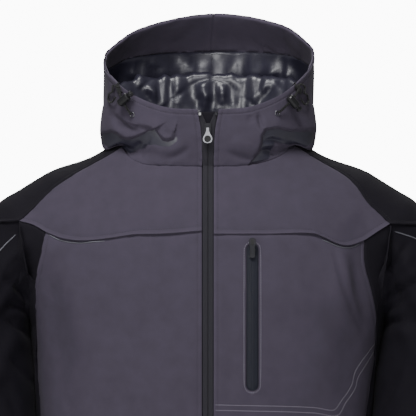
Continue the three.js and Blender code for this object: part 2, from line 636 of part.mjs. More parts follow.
function linear(table, at) {
  const i = clamp(table.findIndex((row) => row[0] >= at), 1, table.length - 1);
  const [a, b] = [table[i - 1], table[i]];
  return a[1] + ((b[1] - a[1]) * clamp(at - a[0], 0, b[0] - a[0])) / (b[0] - a[0]);
}

function facePoint(x, z) {
  const bow = 4 * (x / 60) ** 2;
  if (z > -21) return [x, linear(COLLAR_FACE, z) + bow, z];
  return cast([x, 0, z], [0, -1, 0]);
}

function levels(from, to, steps) {
  return Array.from({ length: steps + 1 }, (_, i) => from + ((to - from) * i) / steps);
}

// A strip behind the face: columns of x for each height, its depth under the face and thickness
function strip(name, heights, columnsAt, depthAt, thick, material) {
  const rows = heights.map((z) => columnsAt(z).map((x) => add(facePoint(x, z), [0, depthAt(z), 0])));
  const behind = rows.map((row) => row.map((p) => add(p, [0, thick, 0])));
  return wall(name, rows, behind, material);
}

function closure() {
  const heights = [...levels(HEM + 2, -170, 9), ...levels(-145, -40, 6), ...levels(-21, 50, 7)];
  const opening = (z) => 0.2 + 9.6 * clamp((z - 28) / 22, 0, 1) ** 1.3;
  const edge = (z) => (z > -21 ? linear(COLLAR_EDGE, z) : 7.4) - 0.5;
  const tapes = [-1, 1].map((s) => strip(`zip_tape_${s < 0 ? 'left' : 'right'}`, heights,
    (z) => [s * opening(z), s * edge(z)], () => TAPE_SINK, TAPE, tapeCloth));
  const flapDepth = (z) => 3 + 1.6 * clamp((z + 60) / 20, 0, 1);
  const flapX = [-FLAP_HALF, -6, 6, FLAP_HALF];
  const flap = strip('storm_flap', heights, () => flapX, flapDepth, 1.2, black);
  const stops = [-1, 1].map((s) => box(`top_stop_${s < 0 ? 'left' : 'right'}`, [3, 2, 3.4],
    add(facePoint(s * 10.6, 47), [0, -1, 0]), white));
  return [...tapes, flap, ...stops];
}

function box(name, size, centre, material) {
  const geometry = new THREE.BoxGeometry(...size);
  geometry.translate(...centre);
  const mesh = new THREE.Mesh(geometry, material);
  mesh.name = name;
  return mesh;
}

// Solids joined or cut as manifolds
function solid(mesh) {
  const position = mesh.geometry.attributes.position;
  const triVerts = mesh.geometry.index
    ? Uint32Array.from(mesh.geometry.index.array)
    : Uint32Array.from({ length: position.count }, (_, i) => i);
  const data = new wasm.Mesh({ numProp: 3, vertProperties: Float32Array.from(position.array), triVerts });
  data.merge();
  return new wasm.Manifold(data);
}

function meshFrom(name, body, material) {
  const data = body.getMesh();
  const geometry = new THREE.BufferGeometry();
  geometry.setAttribute('position', new THREE.Float32BufferAttribute(data.vertProperties, 3));
  geometry.setIndex(Array.from(data.triVerts));
  geometry.computeVertexNormals();
  const mesh = new THREE.Mesh(geometry, material);
  mesh.name = name;
  return mesh;
}

// A flat shape in x and z, extruded along y
function plate(shape, front, thick, steps = 3) {
  const geometry = new THREE.ExtrudeGeometry(shape, { depth: thick, bevelEnabled: false, curveSegments: steps });
  geometry.rotateX(Math.PI / 2);
  geometry.translate(0, front + thick, 0);
  return solid({ geometry });
}

function rounded(x0, x1, z0, z1, r) {
  const shape = new THREE.Shape();
  shape.moveTo(x0 + r, z0);
  shape.lineTo(x1 - r, z0);
  shape.absarc(x1 - r, z0 + r, r, -Math.PI / 2, 0);
  shape.lineTo(x1, z1 - r);
  shape.absarc(x1 - r, z1 - r, r, 0, Math.PI / 2);
  shape.lineTo(x0 + r, z1);
  shape.absarc(x0 + r, z1 - r, r, Math.PI / 2, Math.PI);
  shape.lineTo(x0, z0 + r);
  shape.absarc(x0 + r, z0 + r, r, Math.PI, 1.5 * Math.PI);
  return shape;
}

// A zip slider with two lugs, and the pull tab hinged between them. Way is 1 for a tab that points up;
// the tab is a drop that widens from the hinge to a ring with a soft insert.
function sliderSet(name, x, z, face, way, width, ring) {
  const place = (shape, front, thick) => plate(shape, face + front, thick, 5);
  const body = place(rounded(x - width / 2, x + width / 2, z - 7, z + 7, 2.2), -2.9, 2.9);
  const lugs = [-1, 1].map((s) => place(rounded(x + s * 2.8 - 0.6, x + s * 2.8 + 0.6, z - 1.8, z + 1.8, 0.5), -6.2, 3.6));
  const slider = body.add(lugs[0]).add(lugs[1]);
  const at = (up) => z + way * up;
  const outline = new THREE.Shape();
  outline.moveTo(x - 1.7, at(-1.1));
  outline.lineTo(x + 1.7, at(-1.1));
  outline.lineTo(x + 1.7, at(2.2));
  outline.quadraticCurveTo(x + 2.2, at(ring.middle - 8), x + ring.outer * 0.8, at(ring.middle - 3.6));
  outline.quadraticCurveTo(x + ring.outer * 1.12, at(ring.middle), x + ring.outer * 0.8, at(ring.middle + 3.8));
  outline.quadraticCurveTo(x + ring.outer * 0.5, at(ring.middle + 5.6), x, at(ring.middle + 5.6));
  outline.quadraticCurveTo(x - ring.outer * 0.5, at(ring.middle + 5.6), x - ring.outer * 0.8, at(ring.middle + 3.8));
  outline.quadraticCurveTo(x - ring.outer * 1.12, at(ring.middle), x - ring.outer * 0.8, at(ring.middle - 3.6));
  outline.quadraticCurveTo(x - 2.2, at(ring.middle - 8), x - 1.7, at(2.2));
  const disc = (r) => rounded(x - r, x + r, at(ring.middle) - ring.high, at(ring.middle) + ring.high, r - 0.05);
  const tab = place(outline, -5.4, 1.8).subtract(place(disc(ring.inner), -8, 8));
  const insert = rounded(x - ring.inner + 0.35, x + ring.inner - 0.35, at(ring.middle) - ring.high + 0.35,
    at(ring.middle) + ring.high - 0.35, ring.inner - 0.4);
  return [meshFrom(`${name}_slider`, slider, silver), meshFrom(`${name}_pull`, tab, silver),
    meshFrom(`${name}_pull_insert`, place(insert, -5.2, 1.4), rubber)];
}

// Chest pocket: a window in the right front with its zip tape sunk in it
function pocketWindow(front) {
  const cutter = plate(rounded(POCKET.left, POCKET.right, POCKET.bottom, POCKET.top, 8), -180, 120, 6);
  return meshFrom(front.name, solid(front).subtract(cutter), front.material);
}

function pocketTape() {
  const middle = (POCKET.left + POCKET.right) / 2;
  const half = (POCKET.right - POCKET.left) / 2 - 0.45;
  const ends = [0.5, 1.6, 3.6, 7.6];
  const low = POCKET.bottom;
  const top = POCKET.top;
  const heights = [...ends.map((d) => low + d), ...levels(low + 26, top - 26, 6), ...ends.toReversed().map((d) => top - d)];
  const widthAt = (z) => {
    const d = clamp(Math.min(z - low, top - z) - 0.4, 0, half);
    return Math.sqrt(half * half - (half - d) ** 2);
  };
  return strip('pocket_tape', heights, (z) => [middle - widthAt(z), middle, middle + widthAt(z)],
    () => TAPE_SINK, TAPE, navy);
}

// Where the front of a grid of facets lies for a place seen from the front, and the way it faces there
function facing(grid, x, z) {
  let best = null;
  for (let j = 0; j < grid.length - 1; j += 1) {
    for (let i = 0; i < grid[0].length - 1; i += 1) {
      const [a, b, c, d] = [grid[j][i], grid[j][i + 1], grid[j + 1][i + 1], grid[j + 1][i]];
      for (const triangle of [[a, b, c], [a, c, d]]) {
        const hit = frontHit(triangle, x, z);
        if (hit && (!best || hit.p[1] < best.p[1])) best = hit;
      }
    }
  }
  return best;
}

function frontHit([a, b, c], x, z) {
  const [ab, ac] = [sub(b, a), sub(c, a)];
  const area = ab[0] * ac[2] - ab[2] * ac[0];
  if (Math.abs(area) < 1e-6) return null;
  const u = ((x - a[0]) * ac[2] - (z - a[2]) * ac[0]) / area;
  const v = (ab[0] * (z - a[2]) - ab[2] * (x - a[0])) / area;
  if (u < -1e-6 || v < -1e-6 || u + v > 1 + 1e-6) return null;
  const n = unit(cross(ab, ac));
  return { p: [x, a[1] + ab[1] * u + ac[1] * v, z], n: n.map((k) => (n[1] > 0 ? -k : k)) };
}

// Reflective piping: a narrow ribbon on a panel's face just under a line
function piping(name, grid, line, s, steps) {
  const points = spline(line.map(([x, z]) => [x * s, 0, z]), steps);
  const rowAt = (down, out) => points.map(([x, , z]) => {
    const { p, n } = facing(grid, x, z - down);
    return add(p, n, out);
  });
  return wall(name, [rowAt(3, 1.5), rowAt(1.2, 1.5)], [rowAt(3, 0.7), rowAt(1.2, 0.7)], reflective);
}

function lathe(profile, steps, place) {
  const geometry = new THREE.LatheGeometry(profile.map(([r, y]) => new THREE.Vector2(r, y)), steps);
  geometry.applyMatrix4(place);
  return solid({ geometry });
}

// Eyelet, elastic cord, cord lock and webbing tab on one side of the hood
function adjuster(side) {
  const s = side === 'left' ? -1 : 1;
  const onHood = ([x, z]) => facing(hoodGrids[side], x * s, z);
  const at = Object.fromEntries(Object.entries(ADJUSTERS[side]).map(([key, place]) => [key, onHood(place)]));
  const lift = ({ p, n }, out) => new THREE.Vector3(...add(p, n, out));
  const route = [lift(at.eyelet, 4), lift(at.lock, 8), lift(at.loop, 6), lift(at.tab, 3.4)];
  const curve = new THREE.CatmullRomCurve3(route, false, 'centripetal');
  const tube = (radius) => {
    const ring = new THREE.Shape();
    ring.absarc(0, 0, radius, 0, 2 * Math.PI);
    const geometry = new THREE.ExtrudeGeometry(ring, { extrudePath: curve, steps: 10, curveSegments: 4 });
    return solid({ geometry });
  };
  const along = curve.getTangent(0.36);
  const out = new THREE.Vector3(...at.lock.n);
  const across = new THREE.Vector3().crossVectors(along, out).normalize();
  const centre = curve.getPoint(0.36);
  const basis = new THREE.Matrix4().makeBasis(along.clone().normalize(), across,
    new THREE.Vector3().crossVectors(along.clone().normalize(), across));
  basis.setPosition(centre.clone().addScaledVector(across, 2.5));
  const barrel = lathe([[0, -8.5], [4.2, -8.5], [5.5, -7.2], [5.5, 7], [4.6, 8.5], [2.8, 8.5], [2.8, 1.5], [0, 1.5]], 12, basis);
  const plunger = lathe([[0, 5.2], [2.3, 5.2], [2.3, 12], [4, 12], [4, 14.4], [3.2, 15.2], [0, 15.2]], 12, basis);
  const eyelet = new THREE.TorusGeometry(3, 0.8, 5, 12);
  eyelet.lookAt(new THREE.Vector3(...at.eyelet.n));
  eyelet.translate(...add(at.eyelet.p, at.eyelet.n, 1.3));
  return [
    meshFrom(`eyelet_${side}`, solid({ geometry: eyelet }), silver),
    meshFrom(`cord_${side}`, tube(CORD / 2), plastic),
    meshFrom(`lock_${side}`, barrel.subtract(tube(CORD / 2 + 0.4)), plastic),
    meshFrom(`plunger_${side}`, plunger, plastic),
    webbing(`tab_${side}`, at.tab, at.edge),
  ];
}

function webbing(name, from, to) {
  const way = unit(sub(to.p, from.p));
  const side = unit(cross(way, from.n));
  const rows = [-0.6, 0.2, 1].map((t) => [-4, 4].map((w) => add(add(from.p, way, t * 6), side, w)));
  const outer = rows.map((row) => row.map((p) => add(p, from.n, 1.7)));
  const inner = rows.map((row) => row.map((p) => add(p, from.n, 0.7)));
  return wall(name, outer, inner, black);
}

const seams = { left: seamsOf('left'), right: seamsOf('right') };
const hoodGrids = { left: hoodGrid('left', seams.left), right: hoodGrid('right', seams.right) };
const group = new THREE.Group();
group.name = 'softshell_jacket';
group.add(...bodyPanels('left', seams.left));
group.add(...bodyPanels('right', seams.right).map((m) => (m.name === 'front_right' ? pocketWindow(m) : m)));
group.add(backPanel(seams.left, seams.right));
const sleeves = { left: sleeveGrid('left', seams.left), right: sleeveGrid('right', seams.right) };
for (const side of ['left', 'right']) {
  group.add(panel(`sleeve_${side}`, sleeves[side], black, { ring: true, awayAt: armOnly }));
}
group.add(...hoodParts(seams));
group.add(...closure());
group.add(...sliderSet('zip', -0.5, SLIDER_Z, linear(COLLAR_FACE, SLIDER_Z), -1, 9, MAIN_RING));
group.add(pocketTape());
group.add(...sliderSet('pocket', 57.7, -133, facePoint(57.7, -139)[1] + 0.2, 1, 7, POCKET_RING));
group.add(...adjuster('left'), ...adjuster('right'));
const closed = (grid) => grid.map((row) => [...row, row[0]]);
const fronts = { left: frontGrid('left', seams.left), right: frontGrid('right', seams.right) };
group.add(
  piping('piping_front_left', fronts.left, [[140, -118], [166, -120], [190, -117], [207, -109]], -1, 8),
  piping('piping_front_right', fronts.right, [[151, -116], [169, -124], [183, -126], [198, -121]], 1, 8),
  piping('piping_sleeve_left', closed(sleeves.left), [[252, -112], [268, -128], [290, -150]], -1, 8),
  piping('piping_sleeve_right', closed(sleeves.right), [[245, -109], [262, -114], [290, -130]], 1, 8),
);

export default group;
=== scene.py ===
"""Hooded softshell jacket: cloth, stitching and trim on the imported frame. In mm, the front faces -Y."""
import math
import bmesh
import bpy
import numpy as np
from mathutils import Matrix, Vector
from mathutils.bvhtree import BVHTree


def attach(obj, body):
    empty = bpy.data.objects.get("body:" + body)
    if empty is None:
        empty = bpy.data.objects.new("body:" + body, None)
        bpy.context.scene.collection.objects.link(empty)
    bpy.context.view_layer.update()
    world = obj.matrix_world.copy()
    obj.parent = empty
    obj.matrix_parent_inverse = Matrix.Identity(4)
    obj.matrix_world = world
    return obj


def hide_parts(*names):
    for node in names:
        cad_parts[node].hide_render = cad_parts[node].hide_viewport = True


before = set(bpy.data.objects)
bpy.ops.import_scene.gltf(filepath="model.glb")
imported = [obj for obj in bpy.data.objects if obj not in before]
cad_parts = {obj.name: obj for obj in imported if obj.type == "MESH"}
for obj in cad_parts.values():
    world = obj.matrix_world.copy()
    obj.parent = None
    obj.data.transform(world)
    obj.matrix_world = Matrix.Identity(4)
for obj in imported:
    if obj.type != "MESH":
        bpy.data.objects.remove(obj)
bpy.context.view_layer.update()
R = 8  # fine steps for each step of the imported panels

# ---------------------------------------------------------------- sizes in millimetres
CLOTH = 1.5
HEM = -720.0
CUFF = -640.0
ZIP_TOP = 50
ZIP_EDGE = 7.4  # from the middle of the zip to the edge of the fronts
COLLAR_FOOT = -21
ARM_DEPTH = 1.18  # depth of the arm over its width
ARM_AWAY = 60  # moves the arm's form back where a piece lies on the body alone, and the other way round
ARMPIT = {"left": 232.3, "right": 228.8}
ARMPIT_LEVEL = -140
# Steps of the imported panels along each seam
YOKE, TAIL, SHOULDER, NECK_SIDE, NECK_BACK_STEPS, CAP, ARMHOLE, UNDERARM, BODY = 7, 2, 6, 6, 5, 6, 12, 9, 12
HOOD_ROWS = 16
H = 8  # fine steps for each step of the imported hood
LINING_TOP = 14.3  # the lining ends at this row of the hood, under the facing
POCKET = {"left": 49.6, "right": 65.8, "top": -122.0, "bottom": -313.0}

TORSO = dict(
    z=[45, 20, 0, -21, -40, -62, -90, -125, -180, -235, -300, -380, -480, -600, -740],
    mid=[0, 0, 0, 0, 0, 0, 0, 0, 0, -2, -4, -6, -6, -5, -4],
    half=[70, 108, 137, 175, 203, 224, 239, 245, 240, 228, 221, 217, 213, 217, 225],
    front=[40, 66, 78, 88, 101, 113, 124, 132, 139, 141, 140, 136, 133, 136, 141],
    back=[58, 80, 92, 100, 107, 112, 117, 121, 122, 118, 112, 106, 107, 114, 120],
    square=[2.1, 2.1, 2.1, 2.1, 2.1, 2.15, 2.25, 2.35, 2.4, 2.4, 2.4, 2.4, 2.4, 2.4, 2.4],
)
ARM = dict(
    z=[-80, -112, -158, -225, -300, -360, -450, -550, -660],
    left=[188, 236, 277, 295.5, 287.5, 283, 281, 286, 290],
    right=[188, 236, 275, 292, 279.5, 272.5, 271, 276, 282],
    y=[6, 5, 1, -5, -12, -22, -34, -50, -66],
    r=[46, 54, 59, 59, 58, 57, 55, 52, 48],
)
FRONT, BEHIND = -1, 1
SIGN = {"left": -1, "right": 1}  # of x; left and right as the photograph shows them
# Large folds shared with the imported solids: from, to, half width, height, face (-1 front, 1 behind)
FOLDS = [
    ((238, -118), (300, -210), 9, 5, -1), ((240, -150), (318, -262), 10, 5, -1),
    ((238, -195), (306, -330), 11, 5, -1), ((-238, -120), (-305, -215), 9, 5, -1),
    ((-240, -158), (-322, -270), 10, 5, -1), ((-236, -205), (-300, -345), 11, 4, -1),
    ((200, -150), (176, -300), 20, -4, -1), ((168, -126), (190, -240), 16, 4, -1),
    ((-204, -160), (-186, -330), 22, -3, -1), ((20, -470), (190, -420), 26, 5, -1),
    ((-30, -520), (-196, -450), 26, 5, -1), ((236, -130), (300, -250), 12, 5, 1),
    ((-238, -140), (-304, -260), 12, 5, 1), ((-150, -130), (-60, -330), 26, 5, 1),
    ((150, -140), (70, -350), 28, 5, 1), ((-170, -440), (150, -470), 30, 6, 1),
    ((318, -420), (246, -455), 14, 5, -1), ((-322, -430), (-256, -470), 14, 5, -1),
    ((322, -540), (250, -575), 15, 4, -1), ((-330, -552), (-256, -590), 15, 4, -1),
]
LINES = {
    "left": dict(
        neck=[(8, -21), (45, -20), (82, -18), (101, -10), (113, 5)],
        shoulder=[(113, 5), (124, -3), (149, -17), (183, -36), (204, -51), (218, -65), (232, -79),
                  (246, -92)],
        yoke=[(8, -105), (61, -109), (96, -110), (131, -115), (166, -118), (192, -114), (212, -106)],
        tail=[(212, -106), (228, -97), (246, -92)],
        side=[(212, -106), (217, -131), (223, -160), (226, -195), (226, -234), (222.5, -286), (220.5, -325),
              (219, -346), (208, -450), (206, -560), (212, HEM)]),
    "right": dict(
        neck=[(7.4, -21), (40, -20), (66, -17), (90, -9), (114, 7)],
        shoulder=[(114, 7), (142, -11), (169, -27), (186, -39), (197, -52), (208, -68), (222, -81),
                  (237, -96)],
        yoke=[(7.4, -109), (79, -109), (138, -109), (151, -114), (169, -122), (183, -124), (204, -117)],
        tail=[(204, -117), (221, -106), (237, -96)],
        side=[(204, -117), (205, -150), (211, -173), (217, -200), (220, -225), (218.5, -258), (215.5, -282),
              (212.5, -303), (210, -325), (207, -346), (198, -450), (197, -560), (204, HEM)]),
}
SHOULDER_BACK = [(104, 52, 6), (150, 46, -18), (190, 50, -44), (222, 62, -72), (242, 70, -94)]
NECK_BACK = [(104, 52, 6), (86, 70, 9), (56, 84, 12), (28, 90, 14), (0, 92, 15)]
SIDE_BACK = [(217, -205), (204, -260), (193, -350), (187, -450), (188, -580), (194, HEM)]

# Hood sections from the zip (0) to the middle of the back (1); columns run from the neck seam up to the rim
HOOD_AT = [0, 0.2, 0.38, 0.52, 0.62, 0.69, 0.76, 0.88, 1]
HOOD = np.array([
    [(7.6, -90, -11), (8, -91, -1), (8, -92, 9), (8.6, -93, 19),
     (9.6, -93, 29), (11, -93, 37), (12.5, -93, 45), (14, -93, 53)],
    [(60, -84, -7), (61, -87, 3), (61, -89, 13), (61, -90, 23),
     (61, -91, 32), (60, -91, 41), (59, -91, 49), (58, -90, 57)],
    [(101, -58, 2), (105, -62, 12), (107, -65, 23), (107, -68, 34),
     (106, -70, 45), (105, -71, 56), (103, -71, 66), (101, -70, 75)],
    [(123, -22, 14), (134, -25, 13), (139, -27, 30), (137, -30, 46),
     (133, -32, 60), (131, -34, 74), (131, -36, 87), (130, -38, 99)],
    [(124, 14, 18), (132, 15, 23), (137, 13, 38), (137, 10, 55),
     (135, 7, 71), (135, 4, 88), (135, 2, 101), (135, -2, 111)],
    [(112, 40, 28), (112, 43, 50), (114, 46, 67), (119, 50, 62),
     (129, 60, 50), (134.5, 62, 66), (137, 46, 100), (134, 24, 121)],
    [(108, 62, 34), (110, 65, 62), (114, 70, 85), (120, 82, 56),
     (129, 107, 14), (136, 120, 48), (135, 94, 104), (130, 54, 134)],
    [(60, 90, 38), (61, 93, 66), (66, 99, 92), (74, 114, 60),
     (84, 142, 0), (100, 160, 50), (99, 142, 118), (90, 102, 161)],
    [(0, 97, 38), (0, 99, 68), (0, 104, 95), (0, 120, 60),
     (0, 152, -12), (0, 188, 44), (0, 184, 122), (0, 142, 176)],
], float)


# ---------------------------------------------------------------- curves and tables
def column(keys, values, at):
    """A smooth value of a table's column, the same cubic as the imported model's."""
    keys, values, at = np.asarray(keys, float), np.asarray(values, float), np.asarray(at, float)
    if keys[1] < keys[0]:
        keys, values = keys[::-1], values[::-1]
    i = np.clip(np.searchsorted(keys, at, side="left") - 1, 0, len(keys) - 2)
    before, after = np.maximum(i - 1, 0), np.minimum(i + 2, len(keys) - 1)
    span = keys[i + 1] - keys[i]
    t = np.clip((at - keys[i]) / span, 0, 1)
    if values.ndim > 1:
        shape = (-1,) + (1,) * (values.ndim - 1)
        t, span = t.reshape(shape), span.reshape(shape)
        run0 = (keys[i + 1] - keys[before]).reshape(shape)
        run1 = (keys[after] - keys[i]).reshape(shape)
    else:
        run0, run1 = keys[i + 1] - keys[before], keys[after] - keys[i]
    m0 = (values[i + 1] - values[before]) / run0 * span
    m1 = (values[after] - values[i]) / run1 * span
    return ((2 * t**3 - 3 * t**2 + 1) * values[i] + (t**3 - 2 * t**2 + t) * m0
            + (3 * t**2 - 2 * t**3) * values[i + 1] + (t**3 - t**2) * m1)


def catmull(points, t):
    """Centripetal Catmull-Rom through points[..., k, 3] at share t of the way."""
    points = np.asarray(points, float)
    count = points.shape[-2]
    first = 2 * points[..., :1, :] - points[..., 1:2, :]
    last = 2 * points[..., -1:, :] - points[..., -2:-1, :]
    ring = np.concatenate([first, points, last], axis=-2)
    place = np.clip(np.asarray(t, float), 0, 1) * (count - 1)
    i = np.minimum(place.astype(int), count - 2)
    w = (place - i)[:, None]
    p0, p1, p2, p3 = (ring[..., i + k, :] for k in range(4))
    pairs = (p0, p1), (p1, p2), (p2, p3)
    d = [np.maximum(np.sum((b - a) ** 2, axis=-1, keepdims=True) ** 0.25, 1e-4) for a, b in pairs]
    m1 = ((p1 - p0) / d[0] - (p2 - p0) / (d[0] + d[1]) + (p2 - p1) / d[1]) * d[1]
    m2 = ((p2 - p1) / d[1] - (p3 - p1) / (d[1] + d[2]) + (p3 - p2) / d[2]) * d[1]
    return (p1 + m1 * w + (-3 * p1 + 3 * p2 - 2 * m1 - m2) * w**2 + (2 * p1 - 2 * p2 + m1 + m2) * w**3)


def spaced(points, steps):
    """Evenly spaced points along the spline."""
    dense = catmull(points, np.linspace(0, 1, 40 * (len(points) - 1) + 1))
    return respace(dense, steps)


def respace(line, steps):
    run = np.concatenate([[0], np.cumsum(np.linalg.norm(np.diff(line, axis=0), axis=1))])
    at = np.linspace(0, run[-1], steps + 1)
    return np.stack([np.interp(at, run, line[:, k]) for k in range(3)], axis=1)


def unit(v):
    return v / np.maximum(np.linalg.norm(v, axis=-1, keepdims=True), 1e-9)


def smooth(t):
    t = np.clip(t, 0, 1)
    return t * t * (3 - 2 * t)


def bell(far, wide):
    return np.exp(-((far / wide) ** 2))


def arch(t, share):
    """Rise and fall along a line that begins and ends at that share of a half sine wave."""
    return np.sin(np.pi * np.clip(t * share + (1 - share) / 2, 0, 1))


# ---------------------------------------------------------------- the garment's form
LOWEST, TOP = TORSO["z"][-1], TORSO["z"][0]
LEVELS = np.linspace(LOWEST, TOP, 1571)
SECTIONS = {key: column(TORSO["z"], TORSO[key], LEVELS) for key in ("mid", "half", "front", "back", "square")}


def torso(p):
    z = np.clip(p[:, 2], LOWEST, TOP)
    mid, half, square, front, back = (np.interp(z, LEVELS, SECTIONS[k])
                                      for k in ("mid", "half", "square", "front", "back"))
    depth = np.where(p[:, 1] < 0, front, back)
    across = np.abs((p[:, 0] - mid) / half) ** square
    deep = np.abs(p[:, 1] / depth) ** square
    return ((across + deep) ** (1 / square) - 1) * np.minimum(half, depth) + np.maximum(0, p[:, 2] - TOP)


def join(a, b, k):
    h = np.maximum(k - np.abs(a - b), 0) / k
    return np.minimum(a, b) - h * h * k / 4


def arm(p, side):
    s = SIGN[side]
    q = p / np.array([1, ARM_DEPTH, 1])
    best = np.full(len(p), 1e9)
    stops = np.stack([np.array(ARM[side]) * s, np.array(ARM["y"]) / ARM_DEPTH, np.array(ARM["z"])], axis=1)
    for i in range(len(stops) - 1):
        line = stops[i + 1] - stops[i]
        from_stop = q - stops[i]
        t = np.clip(from_stop @ line / (line @ line), 0, 1)
        r = ARM["r"][i] + (ARM["r"][i + 1] - ARM["r"][i]) * t
        from_line = from_stop - line * t[:, None]
        best = join(best, np.sqrt(np.einsum("ij,ij->i", from_line, from_line)) - r, 2.0)
    return best


def beside(p, a, b):
    """Share of the way along a segment in x and z, the distance from it, and the side of it (-1 or 1)."""
    dx, dz = b[0] - a[0], b[1] - a[1]
    px, pz = p[..., 0] - a[0], p[..., 2] - a[1]
    t = np.clip((px * dx + pz * dz) / (dx * dx + dz * dz), 0, 1)
    return t, np.hypot(px - dx * t, pz - dz * t), np.sign(dx * pz - dz * px)


def fold_sum(p, table):
    total = np.zeros(len(p))
    for a, b, wide, high, face in table:
        low, top = np.minimum(a, b) - 3 * wide, np.maximum(a, b) + 3 * wide
        near = ((p[:, 0] > low[0]) & (p[:, 0] < top[0]) & (p[:, 2] > low[1]) & (p[:, 2] < top[1])
                & (p[:, 1] * face > 0))
        q = p[near]
        t, far, _ = beside(q, a, b)
        total[near] += high * bell(far, wide) * np.clip(q[:, 1] * face / 30, 0, 1) * arch(t, 0.8)
    return total


def form(p, away=(0, 0)):
    """Negative inside; away moves the torso or the arm back, one value or one for each point."""
    body, limb = (np.broadcast_to(np.asarray(a, float), len(p)) for a in away)
    value = torso(p) + body
    for side, s in SIGN.items():
        near = p[:, 0] * s > 100
        if near.any():
            q = p[near]
            k = 0.6 + 40 * np.clip((q[:, 2] + 228) / 80, 0, 1)
            value[near] = join(value[near], arm(q, side) + limb[near], k)
    return value - fold_sum(p, FOLDS)


def slope(p, away=(0, 0)):
    here = form(p, away)
    steps = [form(p + step, away) - here for step in np.eye(3) * 0.3]
    return here, np.stack(steps, axis=1) / 0.3


def settle(p, away=(0, 0)):
    q = np.array(p, float)
    for _ in range(8):
        value, g = slope(q, away)
        move = np.clip(value / np.maximum(np.sum(g * g, axis=1), 0.2), -12, 12)
        q -= g * move[:, None]
    return q


def cast(start, way, away=(0, 0)):
    """First crossing of the form on rays from points inside it."""
    start, way = (np.array(a, float) for a in np.broadcast_arrays(start, way))
    away = [np.broadcast_to(np.asarray(a, float), len(start)) for a in away]
    near, far = np.zeros(len(start)), np.zeros(len(start))
    going = np.arange(len(start))
    while len(going) and far[going[0]] < 400:
        inside = form(start[going] + way[going] * far[going, None], [a[going] for a in away]) < 0
        going = going[inside]
        near[going] = far[going]
        far[going] += 8
    for _ in range(14):
        half = (near + far) / 2
        inside = form(start + way * half[:, None], away) < 0
        near, far = np.where(inside, half, near), np.where(inside, far, half)
    return start + way * ((near + far) / 2)[:, None]


# ---------------------------------------------------------------- seams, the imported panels' lines
def on_face(line, s, steps, face):
    flat = spaced([(x * s, 0, z) for x, z in line], steps)
    flat[:, 1] = 0
    inside = form(flat) < 0
    out = np.array(flat)
    if inside.any():
        out[inside] = cast(flat[inside], (0, face, 0))
    if (~inside).any():
        out[~inside] = settle(flat[~inside] + np.array([0, face * 30, 0]))
    return out


def curved(points, s, steps):
    """A seam that runs behind, laid on the form."""
    return settle(spaced([(x * s, y, z) for x, y, z in points], steps))


def seams_of(side):
    s, lines = SIGN[side], LINES[side]
    counts = dict(neck=YOKE + 2, shoulder=SHOULDER, yoke=YOKE, tail=TAIL, side=BODY)
    g = {key: on_face(lines[key], s, count * R, FRONT) for key, count in counts.items()}
    g["shoulder_back"] = curved(SHOULDER_BACK, s, SHOULDER * R)
    g["neck_back"] = curved(NECK_BACK, s, NECK_BACK_STEPS * R)
    g["neck_back"][0] = g["shoulder_back"][0]
    g["tail"][0] = g["side"][0] = g["yoke"][-1]
    g["tail"][-1] = g["shoulder"][-1]
    g["shoulder"][0] = g["neck"][-1]
    top = settle(spaced([g["neck"][-1], (119 * s, 14, 8), g["shoulder_back"][0]], NECK_SIDE * R))
    top[0], top[-1] = g["neck"][-1], g["shoulder_back"][0]
    g["neck_side"] = top
    ends = g["shoulder"][-1], g["shoulder_back"][-1]
    g["cap"] = cap_line(*ends, s)
    g["armhole"] = armhole_line(*ends, side)
    start = g["armhole"][UNDERARM * R]
    g["side_back"] = on_face([(abs(start[0]), start[2])] + SIDE_BACK, s, BODY * R, BEHIND)
    g["side_back"][0] = start
    return g


def cap_line(front, back, s):
    count = CAP * R
    share = np.arange(count + 1) / count
    turn = np.pi * (share - 0.5)
    level = front[2] + (back[2] - front[2]) * share - 3 * np.sin(np.pi * share)
    start = np.stack([0 * share + 238.0 * s, 0 * share + (front[1] + back[1]) / 2, level], axis=1)
    line = cast(start, np.stack([np.cos(turn) * s, np.sin(turn), 0 * turn], axis=1))
    return ease_ends(line, front, back)


def armhole_line(front, back, side):
    count = ARMHOLE * R
    middle = ARMPIT[side] * SIGN[side]
    angle = [math.atan2(p[1], -(p[2] - ARMPIT_LEVEL)) for p in (front, back)]
    share = np.arange(count + 1) / count
    turn = angle[0] + (angle[1] - angle[0]) * share
    near = np.clip(np.minimum(share, 1 - share) * ARMHOLE / 3, 0, 1)
    end = np.where(share < 0.5, front[0], back[0])
    start = np.stack([end + (middle - end) * near, 0 * near, 0 * near + ARMPIT_LEVEL], axis=1)
    line = cast(start, np.stack([0 * turn, np.sin(turn), -np.cos(turn)], axis=1))
    return ease_ends(line, front, back)


def ease_ends(line, first, last):
    """The line brought to meet exact end points over its first and last few steps."""
    line = np.array(line)
    for k in range(1, R):
        line[k] += (first - line[0]) * (1 - k / R)
        line[-1 - k] += (last - line[-1]) * (1 - k / R)
    line[0], line[-1] = first, last
    return line


def patch(bottom, top, left, right, away_at=None):
    """Grid [up, across, 3] between four seams that share their corners, laid on the form."""
    bottom, top, left, right = (np.asarray(line, float) for line in (bottom, top, left, right))
    u = np.linspace(0, 1, len(bottom))[None, :, None]
    v = np.linspace(0, 1, len(left))[:, None, None]
    ruled = bottom[None] * (1 - v) + top[None] * v + left[:, None] * (1 - u) + right[:, None] * u
    corners = ((bottom[0] * (1 - u) + bottom[-1] * u) * (1 - v) + (top[0] * (1 - u) + top[-1] * u) * v)
    grid = ruled - corners
    inner = grid[1:-1, 1:-1].reshape(-1, 3)
    away = (0, 0)
    if away_at is not None:
        rows = np.repeat(v[1:-1, 0, 0], grid.shape[1] - 2)
        away = away_at(rows)
    grid[1:-1, 1:-1] = settle(inner, away).reshape(grid.shape[0] - 2, grid.shape[1] - 2, 3)
    return grid


